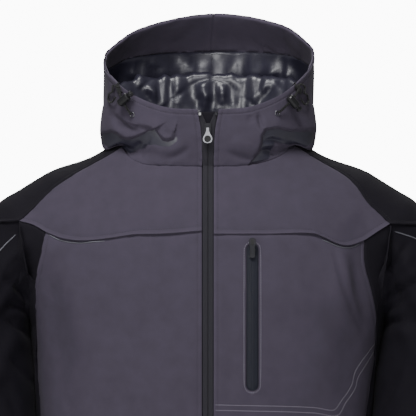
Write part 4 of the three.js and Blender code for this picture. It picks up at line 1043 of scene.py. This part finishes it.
def soft(grid, seed, high=1.0):
    """The gentle unevenness of worn cloth."""
    waves = enumerate(((0.8, 150), (0.35, 60), (0.1, 24)))
    return high * sum(share * ripple(grid, scale, seed + k) for k, (share, scale) in waves)


def relief_of(cloth, seed, high, folds, pucker):
    """Unevenness, creases and puckered borders of one piece; pucker is its height, wave, depth and seed."""
    return soft(cloth.grid, seed, high) + creases(cloth.grid, folds) + cloth.pucker(*pucker)


# How far the sleeve and the side of the body lean together: heights and total for each side
LEAN = dict(
    z=[-480, -440, -420, -400, -380, -360, -340, -320, -300, -280, -260, -240, -220, -205],
    left=[0, 3.5, 5.5, 4.6, 3.2, 2.6, 4.2, 5.2, 5.8, 5.8, 5.8, 5.4, 1.5, 0],
    right=[0, 3.5, 5.6, 6.1, 6.1, 4.5, 5.6, 6.2, 5.2, 5.2, 4.8, 3.6, 0.5, 0],
)


def lean(cloth, side, way):
    """Relief that closes the gap beside the body: way is 1 for the side panel and -1 for the sleeve."""
    total = np.interp(cloth.grid[..., 2], LEAN["z"], LEAN[side])
    turned = np.clip(cloth.normals[..., 0] * SIGN[side] * way, 0, 1)
    return (0.58 if way < 0 else 0.5) * total * turned**3


def body_cloth(grid, stitch, **edges):
    return Cloth(grid, outward, {**SEAMED, **edges}, stitch)


def body_pieces(sets):
    for side, folds, seed in (("left", FRONT_LEFT, 11), ("right", FRONT_RIGHT, 111)):
        grids = body_grids(side, sets[side])
        front = body_cloth(grids["front"], dict(left=5.5, bottom=22.0, right=6.0), bottom="free", top="under")
        relief = relief_of(front, seed, 1.0, folds + LOWER, (0.35, 9, 7, seed + 5))
        panel(f"front_{side}", front, relief * held_flat(front.grid), GREY)
        if side == "right":
            chest_zip()
        yoke = body_cloth(grids["yoke"], dict(bottom=6.5, left=5.5), bottom="lip")
        relief = relief_of(yoke, seed + 20, 0.6, YOKE_FOLDS, (0.25, 9, 6, seed + 6))
        panel(f"yoke_{side}", yoke, relief * held_flat(yoke.grid), GREY)
        shoulder = body_cloth(grids["shoulder"], dict(left=6.0, bottom=6.0), bottom="lip")
        relief = relief_of(shoulder, seed + 30, 0.7, [], (0.3, 10, 8, seed + 7))
        # the shoulders and side panels take the painted-light copy of the black softshell
        panel(f"shoulder_{side}", shoulder, relief, BLACK_PAINTED_LIT)
        flank = body_cloth(grids["side"], dict(bottom=22.0, right=6.0), bottom="free")
        relief = relief_of(flank, seed + 40, 1.0, [], (0.35, 9, 7, seed + 8))
        relief = relief + lean(flank, side, 1) * smooth(flank.near_border("bottom", "top") / 14)
        panel(f"side_{side}", flank, relief, BLACK_PAINTED_LIT)
    back = body_cloth(back_grid(sets["left"], sets["right"]), dict(bottom=22.0, top=6.0), bottom="free")
    panel("back", back, relief_of(back, 301, 1.4, BACK, (0.35, 9, 7, 305)), GREY)


def rounded_outline(box, away, r, steps=10):
    """Outline in x and z of a box with rounded corners, grown by away on every side."""
    x0, x1 = box["left"] - away + r, box["right"] + away - r
    z0, z1 = box["bottom"] - away + r, box["top"] + away - r
    points = []
    for cx, cz, start in ((x1, z0, -90), (x1, z1, 0), (x0, z1, 90), (x0, z0, 180)):
        for k in range(steps + 1):
            turn = math.radians(start + 90 * k / steps)
            points.append((cx + r * math.cos(turn), cz + r * math.sin(turn)))
    return points


def slab(outline, y0, y1):
    """A solid with that outline in x and z."""
    points = [(x, y0, z) for x, z in outline] + [(x, y1, z) for x, z in outline]
    count = len(outline)
    mesh = bpy.data.meshes.new("slab")
    faces = [tuple(range(count)), tuple(range(2 * count - 1, count - 1, -1))]
    faces += [(i, i + count, (i + 1) % count + count, (i + 1) % count) for i in range(count)]
    mesh.from_pydata([Vector(p) / 1000 for p in points], [], faces)
    obj = bpy.data.objects.new("slab", mesh)
    bpy.context.scene.collection.objects.link(obj)
    return obj


def cut(obj, cutter):
    """Takes the cutter's space out of a mesh and deletes the cutter."""
    change = obj.modifiers.new("window", "BOOLEAN")
    change.operation, change.object, change.solver = "DIFFERENCE", cutter, "EXACT"
    made = bpy.data.meshes.new_from_object(obj.evaluated_get(bpy.context.evaluated_depsgraph_get()))
    obj.modifiers.clear()
    obj.data = made
    bpy.data.objects.remove(cutter)


class Surface:
    """The front face of a piece, read at places seen from the front."""

    def __init__(self, obj):
        mesh = bmesh.new()
        mesh.from_mesh(obj.data)
        self.tree = BVHTree.FromBMesh(mesh)
        mesh.free()

    def at(self, x, z):
        hit, way, _, _ = self.tree.ray_cast(Vector((x / 1000, -1, z / 1000)), Vector((0, 1, 0)))
        if hit is None:
            return None
        return np.array(hit) * 1000, np.array(way if way.y < 0 else -way)

    def line(self, outline, step=1.5):
        flat = spaced([(x, 0, z) for x, z in outline], max(8, int(path_length(outline) / step)))
        hits = [hit for hit in (self.at(x, z) for x, _, z in flat) if hit is not None]
        return np.array([h[0] for h in hits]), np.array([h[1] for h in hits])

    def sew(self, kind, outline, **sizes):
        sew(kind, *self.line(outline), **sizes)


def path_length(outline):
    return sum(math.dist(a, b) for a, b in zip(outline, outline[1:]))


POCKET_ROUND = 8  # radius of the window's corners
BAG_STITCHES = [
    [(10, -331), (50, -332), (97, -333), (140, -335), (164, -338), (173, -327), (187, -306), (191, -290),
     (198, -278), (213, -258), (218, -251)],
    [(10, -338), (50, -339), (97, -340), (140, -342), (169, -345), (179, -329), (192, -310), (195, -297),
     (203, -284), (213, -268), (216, -263)],
]


def chest_zip():
    """The window in the right front, the stitches round it and the stitched outline of the pocket bag."""
    obj = bpy.data.objects["front_right_cloth"]
    cut(obj, slab(rounded_outline(POCKET, 0, POCKET_ROUND), -180, -60))
    face = Surface(obj)
    away = 2.6
    ring = rounded_outline(POCKET, away, POCKET_ROUND + away)
    face.sew("light", [*ring, ring[0]], pitch=3.2, wide=0.85)
    for line in BAG_STITCHES:
        face.sew("pale", line, pitch=3.0, wide=0.9)


def sleeve_pieces(sets):
    both = [([(-x - 2, z - 6) for x, z in line], *rest) for line, *rest in SLEEVE_BOTH]
    for side, folds, seed in (("left", SLEEVE_LEFT + both, 401), ("right", SLEEVE_RIGHT + SLEEVE_BOTH, 451)):
        cloth = Cloth(sleeve_grid(side, sets[side]), lambda g: g - g.mean(axis=1, keepdims=True),
                      dict(bottom="under", top="free"), dict(top=20.0), ring=True)
        relief = relief_of(cloth, seed, 1.1, folds, (0.35, 10, 8, seed + 5))
        panel(f"sleeve_{side}", cloth, relief + lean(cloth, side, -1), BLACK)


# Outer face of the hood, seen from the front
HOOD_FOLDS = seen_from(FRONT, [
    (4.4, -5.5, (-124, 45), (-113, 33), (-103, 26), (-94, 24)), (6, 2, (-128, 34), (-114, 22), (-100, 18)),
    (2.6, -2.4, (-78, 14), (-81, 6), (-86, -4), (-88, -10)), (4, -2.2, (-98, 0), (-92, 6), (-88, 10)),
    (5, -2, (-54, -12), (-40, -7), (-26, 1)), (9, 1.6, (-60, -2), (-44, 3), (-30, 12)),
    (3.4, -4, (66, 46), (68, 38), (71, 28)), (5, -1.8, (54, 46), (55, 40), (58, 34)),
    (3, -2.6, (76, 12), (86, 13), (97, 10)), (3.4, 2.2, (74, 6), (84, 7), (94, 4)),
    (3, -2.6, (72, -1), (82, -2), (90, -8)), (5, -2, (22, -2), (42, -10), (60, -14), (66, -8)),
    (10, 1.8, (30, 12), (44, 8), (56, 2)), (8, -2, (-130, 60), (-124, 74), (-128, 92)),
    (8, -2, (130, 50), (126, 66), (129, 90)),
])
# Rolls of the hood that hang over the cloth beside them: rise of the roll, depth of the hollow, how far each
# fades, and points (x, z) of the line with the roll on its left
HOOD_ROLLS = [
    (6, 14, 14, 13, (-138, 21), (-127, 23), (-119, 21), (-112, 15), (-104, 12.5), (-94, 15.5), (-83, 20),
     (-76, 24)),
    (4.2, 4.2, 10, 11, (-90, 32), (-76, 28.5), (-71, 24.5), (-64, 18.5), (-59, 13.5), (-52, 12.5),
     (-46, 15), (-44, 22)),
    (0, 15, 6, 11, (-140, 18), (-129, 19), (-119, 13), (-112, 9)),
    (0, 12, 6, 11, (110, 17), (120, 17), (140, 19)),
    (5.5, 12, 14, 13, (62, -9), (68, -2), (71, 8), (72, 18), (76, 25), (89, 27.5), (108, 23.5), (122, 24),
     (138, 26)),
]
# Ridges and valleys of the satin, seen from the front
SATIN_FOLDS = seen_from(BEHIND, [
    (4, 4, (-19, 66), (-10, 76), (-4, 90)), (3.5, -4.5, (-14, 56), (-12, 66), (-18, 84)),
    (3.5, 4, (-7, 56), (-5, 66), (4, 78)), (4, -3, (-26, 88), (-24, 72), (-16, 58)),
    (3.5, 4.5, (14, 58), (20, 76), (24, 88)), (3.5, -4.5, (24, 86), (30, 74), (34, 60)),
    (3, -3.5, (17, 74), (14, 64), (16, 56)), (3.5, 3.5, (-84, 86), (-74, 76), (-66, 62)),
    (3.5, -4, (-92, 80), (-80, 68), (-70, 58)), (3.5, 3.5, (78, 88), (70, 76), (62, 64)),
    (3.5, -3.5, (86, 84), (76, 72), (68, 60)), (6, 2.5, (-46, 60), (-38, 76), (-44, 88)),
    (3.5, 4.5, (-34, 125), (-28, 112), (-20, 98)), (3.5, -4, (-40, 118), (-32, 104), (-26, 96)),
    (3.5, 5, (38, 124), (34, 112), (30, 99)), (3.5, -4.5, (46, 118), (42, 106), (40, 97)),
    (4, -3.5, (28, 118), (24, 106), (22, 98)), (3.5, -4.5, (-78, 114), (-70, 104), (-66, 97)),
    (4, 3.5, (-70, 120), (-62, 108), (-58, 98)), (4, 4, (-100, 104), (-94, 96), (-90, 88)),
    (3.5, -4, (-108, 98), (-102, 90), (-98, 82)), (3.5, 4.5, (86, 116), (88, 106), (82, 97)),
    (3.5, -4.5, (94, 112), (96, 102), (92, 95)), (3.5, 4, (104, 108), (108, 100), (112, 92)),
    (4, 2.5, (62, 120), (66, 110), (70, 98)), (5, 2.5, (2, 120), (-4, 108), (0, 97)),
])


def hood_pieces(sets):
    left, right = hood_half("left", sets["left"]), hood_half("right", sets["right"])
    whole = np.concatenate([left, right[:, ::-1][:, 1:]], axis=1)
    facing = grid_normals(whole)
    middle = left.shape[1] - 1
    centre = np.array([0, 40, 80])
    if np.sum(facing * (whole - centre)) < 0:
        facing = -facing
    folds = creases(whole, HOOD_FOLDS) + soft(whole, 501, 0.6)
    hollows = rolls(whole, HOOD_ROLLS) * held_flat(whole)
    rows = np.linspace(0, 1, whole.shape[0])[:, None]
    folds = folds * smooth(rows * 12) * smooth((1 - rows) * 9 + 0.2) * held_flat(whole)
    halves = ("left", slice(0, middle + 1), 1, 520), ("right", slice(middle, None), -1, 530)
    edges = {**SEAMED, "top": "free", "left": "free"}
    for side, part, way, seed in halves:
        grid, relief, deep, out = (a[:, part][:, ::way] for a in (whole, folds, hollows, facing))
        moved = grid + out * relief[..., None] - deep[..., None] * np.array([0, 1, 0])
        cloth = Cloth(moved, lambda g: g - centre, edges, dict(top=7.0, left=6.0))
        panel(f"hood_{side}", cloth, cloth.pucker(0.3, 9, 7, seed), GREY)
    inside_pieces(whole, facing, folds)


LINING_SAG = 13  # how far the lining comes forward from the hood's back
# Zigzag seams of the lining: x, and the heights that they run between
ZIGZAGS = [(-68, 98, 122), (-52, 98, 125), (5, 98, 127), (47, 98, 125), (68, 98, 122), (-43, 58, 92),
           (10, 58, 93), (57, 60, 92)]


def inside_pieces(whole, facing, folds):
    """The satin lining with its quilting, and the self-cloth facing along the rim."""
    split = round(LINING_TOP * H)
    relief = np.clip(folds, -2.5, 2.5)
    back = whole + facing * (relief - 2.3)[..., None]
    lining = back[H // 2:split + 1]
    low = smooth((132 - lining[..., 2]) / 34) * smooth((lining[..., 2] - 20) / 40)
    sag = LINING_SAG * low * smooth((lining[..., 1] - 128) / 30)
    lining = lining - sag[..., None] * np.array([0, 1, 0])
    turned = -facing[H // 2:split + 1]
    outer = lining + turned * (0.9 + quilting(lining))[..., None]
    obj = settle_in(wall_mesh("hood_lining_cloth", outer, lining, SATIN), "lining_satin", "hood_lining")
    declare(lining)
    face = Surface(obj)
    for x, low, high in ZIGZAGS:
        steps = np.linspace(low, high, int((high - low) / 2.6))
        zigzag = [(x + 1.3 * (-1) ** k, z) for k, z in enumerate(steps)]
        face.sew("black", zigzag, pitch=2.9, share=0.8, wide=0.8)
    half = back.shape[1] // 2
    near = half + np.array([-0.9, -0.5, -0.22, 0, 0.22, 0.5, 0.9])
    places = np.unique(np.concatenate([np.arange(back.shape[1], dtype=float), near]))
    band, turned = (along_axis(a[split:], places, 1) for a in (back, -facing))
    turned = unit(turned)
    edge = np.minimum(reach_from(band, 0, False), reach_from(band, 0, True))
    across = reach_from(band, 1, False)
    seam = np.abs(across - across[:, np.argmin(np.abs(places - half))][:, None])
    wavy = 0.7 * ripple(band * np.array([1, 1, 0.3]), 15, 541) * bell(edge, 12) + soft(band, 542, 0.7)
    dips = 0.5 * bell(edge, 1.5) + 0.95 * bell(seam, 0.8)
    outer = band + turned * (1.3 + wavy + creases(band, FACING_FOLDS) - dips)[..., None]
    worn = bell(edge, 2.0)
    obj = settle_in(wall_mesh("hood_facing_cloth", outer, band, GREY, edge=worn), "shell_grey", "hood_facing")
    declare(band)


FACING_FOLDS = seen_from(BEHIND, [
    (7, -1.4, (-70, 160), (-62, 146), (-58, 134)), (8, 1.2, (-50, 164), (-44, 148), (-42, 134)),
    (6, -1.8, (-112, 132), (-104, 120), (-98, 112)), (6, -2, (96, 150), (104, 134), (112, 118)),
    (5, -1.6, (70, 134), (80, 128), (90, 124)), (6, 1.6, (108, 150), (116, 136), (120, 122)),
])


def quilting(grid):
    """Height of the puffed lining between its quilting lines, with puckers that run out of them."""
    row_high = 46.0
    across = reach_from(grid, 1, False)
    across = across - across[:, grid.shape[1] // 2:grid.shape[1] // 2 + 1]
    up = reach_from(grid, 0, True)
    rows = np.abs(up % row_high - row_high / 2) / (row_high / 2)
    seams = np.array([-176, -138, -104, -68, -52, 5, 47, 68, 104, 140, 178], float)
    near = np.min(np.abs(across[..., None] - seams), axis=-1)
    puff = np.clip(np.minimum(1 - rows**4, smooth(near / 9)), 0, 1) ** 0.6
    stretched = grid * np.array([1, 0.12, 0.3])
    room = np.clip((118 - np.abs(grid[..., 0])) / 12, 0, 1) * np.clip((grid[..., 1] - 60) / 20, 0, 1)
    wide_folds = [(line, wide * 1.6, high, face) for line, wide, high, face in SATIN_FOLDS]
    folds = 1.6 * creases(grid, wide_folds) + 0.35 * ripple(stretched, 40, 601, 9)
    return room * np.maximum(3.6 * puff + folds * (0.35 + 0.65 * puff), -0.4)


# ---------------------------------------------------------------- closure and trim
COLLAR_FACE = [(-21, -88), (-11, -90), (-1, -91), (9, -92), (19, -93), (53, -93)]
COLLAR_EDGE = [(-21, 7.5), (-1, 8), (19, 8.6), (29, 9.6), (37, 11), (45, 12.5), (53, 14)]


def face_point(x, z):
    """Points of the garment's face at places seen from the front."""
    x, z = (np.array(a, float) for a in np.broadcast_arrays(x, z))
    collar = np.interp(z, *np.array(COLLAR_FACE, float).T) + 4 * (x / 60) ** 2
    inside = np.stack([x.ravel(), 0 * x.ravel(), np.minimum(z.ravel(), COLLAR_FOOT)], axis=1)
    body = cast(inside, (0, -1, 0))[:, 1]
    return np.stack([x, np.where(z > COLLAR_FOOT, collar, body.reshape(x.shape)), z], axis=-1)


def strip(name, z, x, depth, thick, material, slot):
    """A strip behind the face: x for each height and column, sunk under the face by depth."""
    outer = face_point(x, z[:, None] + 0 * x)
    outer[..., 1] += depth
    obj = settle_in(wall_mesh(f"{name}_cloth", outer, outer + np.array([0, thick, 0]), material), slot, name)
    return obj, outer


FLAP_HALF = 17


def closure():
    z = np.linspace(HEM + 2, ZIP_TOP, 100 * R)
    gap = 0.2 + 9.6 * np.clip((z - 28) / 22, 0, 1) ** 1.3  # the tapes part above the slider
    edge = np.where(z > COLLAR_FOOT, np.interp(z, *np.array(COLLAR_EDGE).T), ZIP_EDGE) - 0.5
    share = np.array([0, 0.06, 0.16, 0.3, 0.5, 0.75, 1.0])
    for side, s in SIGN.items():
        x = s * (gap[:, None] + (edge - gap)[:, None] * share)
        roll = 0.5 * bell(share * 7, 0.7) - 0.25 * bell(share * 7 - 1.1, 0.5)
        strip(f"zip_tape_{side}", z, x, 0.5 + roll, 1.1, TAPE, "zip_tape")
    z = np.linspace(HEM + 2, ZIP_TOP, 40 * R)
    x = np.linspace(-FLAP_HALF, FLAP_HALF, 3 * R + 1)[None] + 0 * z[:, None]
    depth = (3 + 1.6 * np.clip((z + 60) / 20, 0, 1))[:, None] + 0.4 * np.cos(x / FLAP_HALF * np.pi / 2)
    flap, face = strip("storm_flap", z, x, depth, 1.2, BLACK, "shell_black")
    declare(face)


def pocket():
    low, top = POCKET["bottom"], POCKET["top"]
    middle, half = (POCKET["left"] + POCKET["right"]) / 2, (POCKET["right"] - POCKET["left"]) / 2 - 0.45
    ends = half * (1 - np.cos(np.linspace(0.05, math.pi / 2, 2 * R)))
    z = np.unique(np.concatenate([low + 0.4 + ends, np.linspace(low + 9, top - 9, 24 * R), top - 0.4 - ends]))
    d = np.clip(np.minimum(z - low, top - z) - 0.4, 0, half)
    wide = np.sqrt(np.maximum(half * half - (half - d) ** 2, 0.01))
    share = np.array([-1, -0.75, -0.5, -0.28, -0.12, -0.05, 0, 0.05, 0.12, 0.28, 0.5, 0.75, 1.0])
    x = middle + wide[:, None] * share
    groove = 0.45 * bell(share, 0.05) - 0.25 * bell(np.abs(share) - 0.14, 0.08)
    strip("pocket_tape", z, x, 0.5 + groove, 1.1, NAVY, "pocket_tape")


# Where the pipings show, as (x, z) on the piece that carries each
PIPINGS = {
    "front_left": [(-134, -118.5), (-150, -119.5), (-166, -121), (-190, -118), (-208, -110)],
    "front_right": [(148, -116.5), (158, -120.5), (170, -125.5), (184, -127), (199, -121.5)],
    "sleeve_left": [(-250, -110), (-262, -121), (-274, -134), (-292, -152)],
    "sleeve_right": [(243, -106), (256, -110), (272, -116), (292, -130)],
}


def pipings():
    """Reflective piping: a thin folded edge that shows under the seam."""
    for name, outline in PIPINGS.items():
        line, ways = Surface(bpy.data.objects[f"{name}_cloth"]).line(outline, 1.2)
        across = unit(np.cross(unit(np.gradient(line, axis=0)), ways))
        index = np.arange(len(line))
        taper = np.sqrt(np.clip(np.minimum(index, index[::-1]) / 5, 0.04, 1))[:, None]
        turn = np.linspace(0, math.pi, 7)
        outer = np.stack([line + ways * 0.2 + (across * math.cos(t) * 0.85 + ways * math.sin(t) * 0.8) * taper
                          for t in turn], axis=1)
        inner = np.stack([line - ways * 0.2 + across * math.cos(t) * 0.8 * taper for t in turn], axis=1)
        settle_in(wall_mesh(f"piping_{name}_cloth", outer, inner, REFLECT), "reflective", f"piping_{name}")


TAB_HALF = 3.9
TABS = {"left": [(-118, 86), (-114, 79), (-111, 73)], "right": [(112, 87), (116, 80), (119, 75)]}


def tabs():
    """Webbing tabs that hold the cord locks to the hood's edge."""
    for side, outline in TABS.items():
        line, ways = Surface(bpy.data.objects[f"hood_{side}_cloth"]).line(outline, 0.8)
        way = unit(np.gradient(line, axis=0))
        across = unit(np.cross(way, ways))
        share = np.linspace(0, 1, len(line))
        lift = (1.0 + 1.8 * np.sin(share * math.pi * 0.6))[:, None]
        wide = np.linspace(-TAB_HALF, TAB_HALF, 9)
        outer = np.stack([line + ways * (lift + 0.9 - 0.25 * (w / TAB_HALF) ** 4) + across * w for w in wide],
                         axis=1)
        inner = np.stack([line + ways * lift + across * w for w in wide], axis=1)
        settle_in(wall_mesh(f"tab_{side}_webbing", outer, inner, WEBBING), "shell_black", f"tab_{side}")


CORDS = {
    "left": [(-0.10025, -0.07874, 0.0459), (-0.111, -0.0755, 0.0632), (-0.11385, -0.06913, 0.07067),
             (-0.11518, -0.06373, 0.07638)],
    "right": [(0.09166, -0.08407, 0.04805), (0.10818, -0.07733, 0.06392), (0.11596, -0.06702, 0.07459),
              (0.11949, -0.05909, 0.08138)],
}


def elastic(name, route, thick, *nodes):
    """A round elastic cord along a route in metres."""
    line = catmull(np.array(route), np.linspace(0, 1, 6 * len(route) + 1))
    curve = bpy.data.curves.new(name, "CURVE")
    curve.dimensions, curve.bevel_depth, curve.bevel_resolution = "3D", thick / 2, 4
    curve.use_fill_caps = True
    spline = curve.splines.new("POLY")
    spline.points.add(len(line) - 1)
    for point, place in zip(spline.points, line):
        point.co = (*place, 1)
    curve.materials.append(ELASTIC)
    obj = bpy.data.objects.new(name, curve)
    bpy.context.scene.collection.objects.link(obj)
    settle_in(obj, "cord_black", *nodes)


LOOP_LIFT = [6, 5, 2.5, 2.5, 5, 3, 2.5, 3]  # how far each place of a loop stands off the hood
LOOPS = {
    "left": [(-116, 68), (-121, 62), (-128, 65), (-127, 73), (-120, 77), (-122, 83), (-117, 87), (-113, 81)],
    "right": [(116, 66), (122, 59), (129, 64), (127, 72), (121, 75), (124, 82), (118, 86), (114, 80)],
}


def cords():
    for side, route in CORDS.items():
        elastic(f"elastic_cord_{side}", route, 0.003, f"cord_{side}")


def loops():
    """The free ends of the elastic, looped back round the locks."""
    for side, outline in LOOPS.items():
        face = Surface(bpy.data.objects[f"hood_{side}_cloth"])
        places = [face.at(x, z) for x, z in outline]
        # a place past the rim would land on the back of the hood, so it is left out
        route = [tuple((at + way * up) / 1000) for (at, way), up in zip(places, LOOP_LIFT) if at[1] < 0]
        elastic(f"elastic_loop_{side}", route, 0.0026)


def threads():
    for kind, groups in THREADS.items():
        points = np.concatenate(groups)
        base = np.arange(len(points))[:, None, None] * 5
        shape = np.array([(0, 1, 2), (0, 2, 3), (4, 2, 1), (4, 3, 2), (0, 3, 1), (4, 1, 3)])
        faces = (base + shape[None]).reshape(-1, 3)
        slot = "shell_black" if kind == "black" else "shell_grey"
        settle_in(mesh_object(f"stitching_{kind}", points.reshape(-1, 3), faces, THREAD[kind]), slot)


def dress_nodes():
    """Better materials for the hard pieces that stay."""
    looks = {METAL: ["zip_pull", "eyelet_left", "eyelet_right"],
             GUNMETAL: ["zip_slider", "pocket_slider", "pocket_pull", "top_stop_right"],
             RUBBER: ["zip_pull_insert", "pocket_pull_insert"],
             PLASTIC: ["lock_left", "lock_right", "plunger_left", "plunger_right"],
             WHITE: ["top_stop_left"]}
    for material, names in looks.items():
        for name in names:
            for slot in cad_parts[name].material_slots:
                slot.material = material


set_stage()
cords()
SEAMS = {side: seams_of(side) for side in ("left", "right")}
body_pieces(SEAMS)
sleeve_pieces(SEAMS)
hood_pieces(SEAMS)
closure()
pocket()
pipings()
tabs()
loops()
threads()
dress_nodes()
inside = ["hood_lining_cloth", "hood_facing_cloth", "storm_flap_cloth"]
look("inside", (-0.3, -2.8, 1.0), (1.2, 0.9), 36, (0, 0.1, 0.1), only=inside)
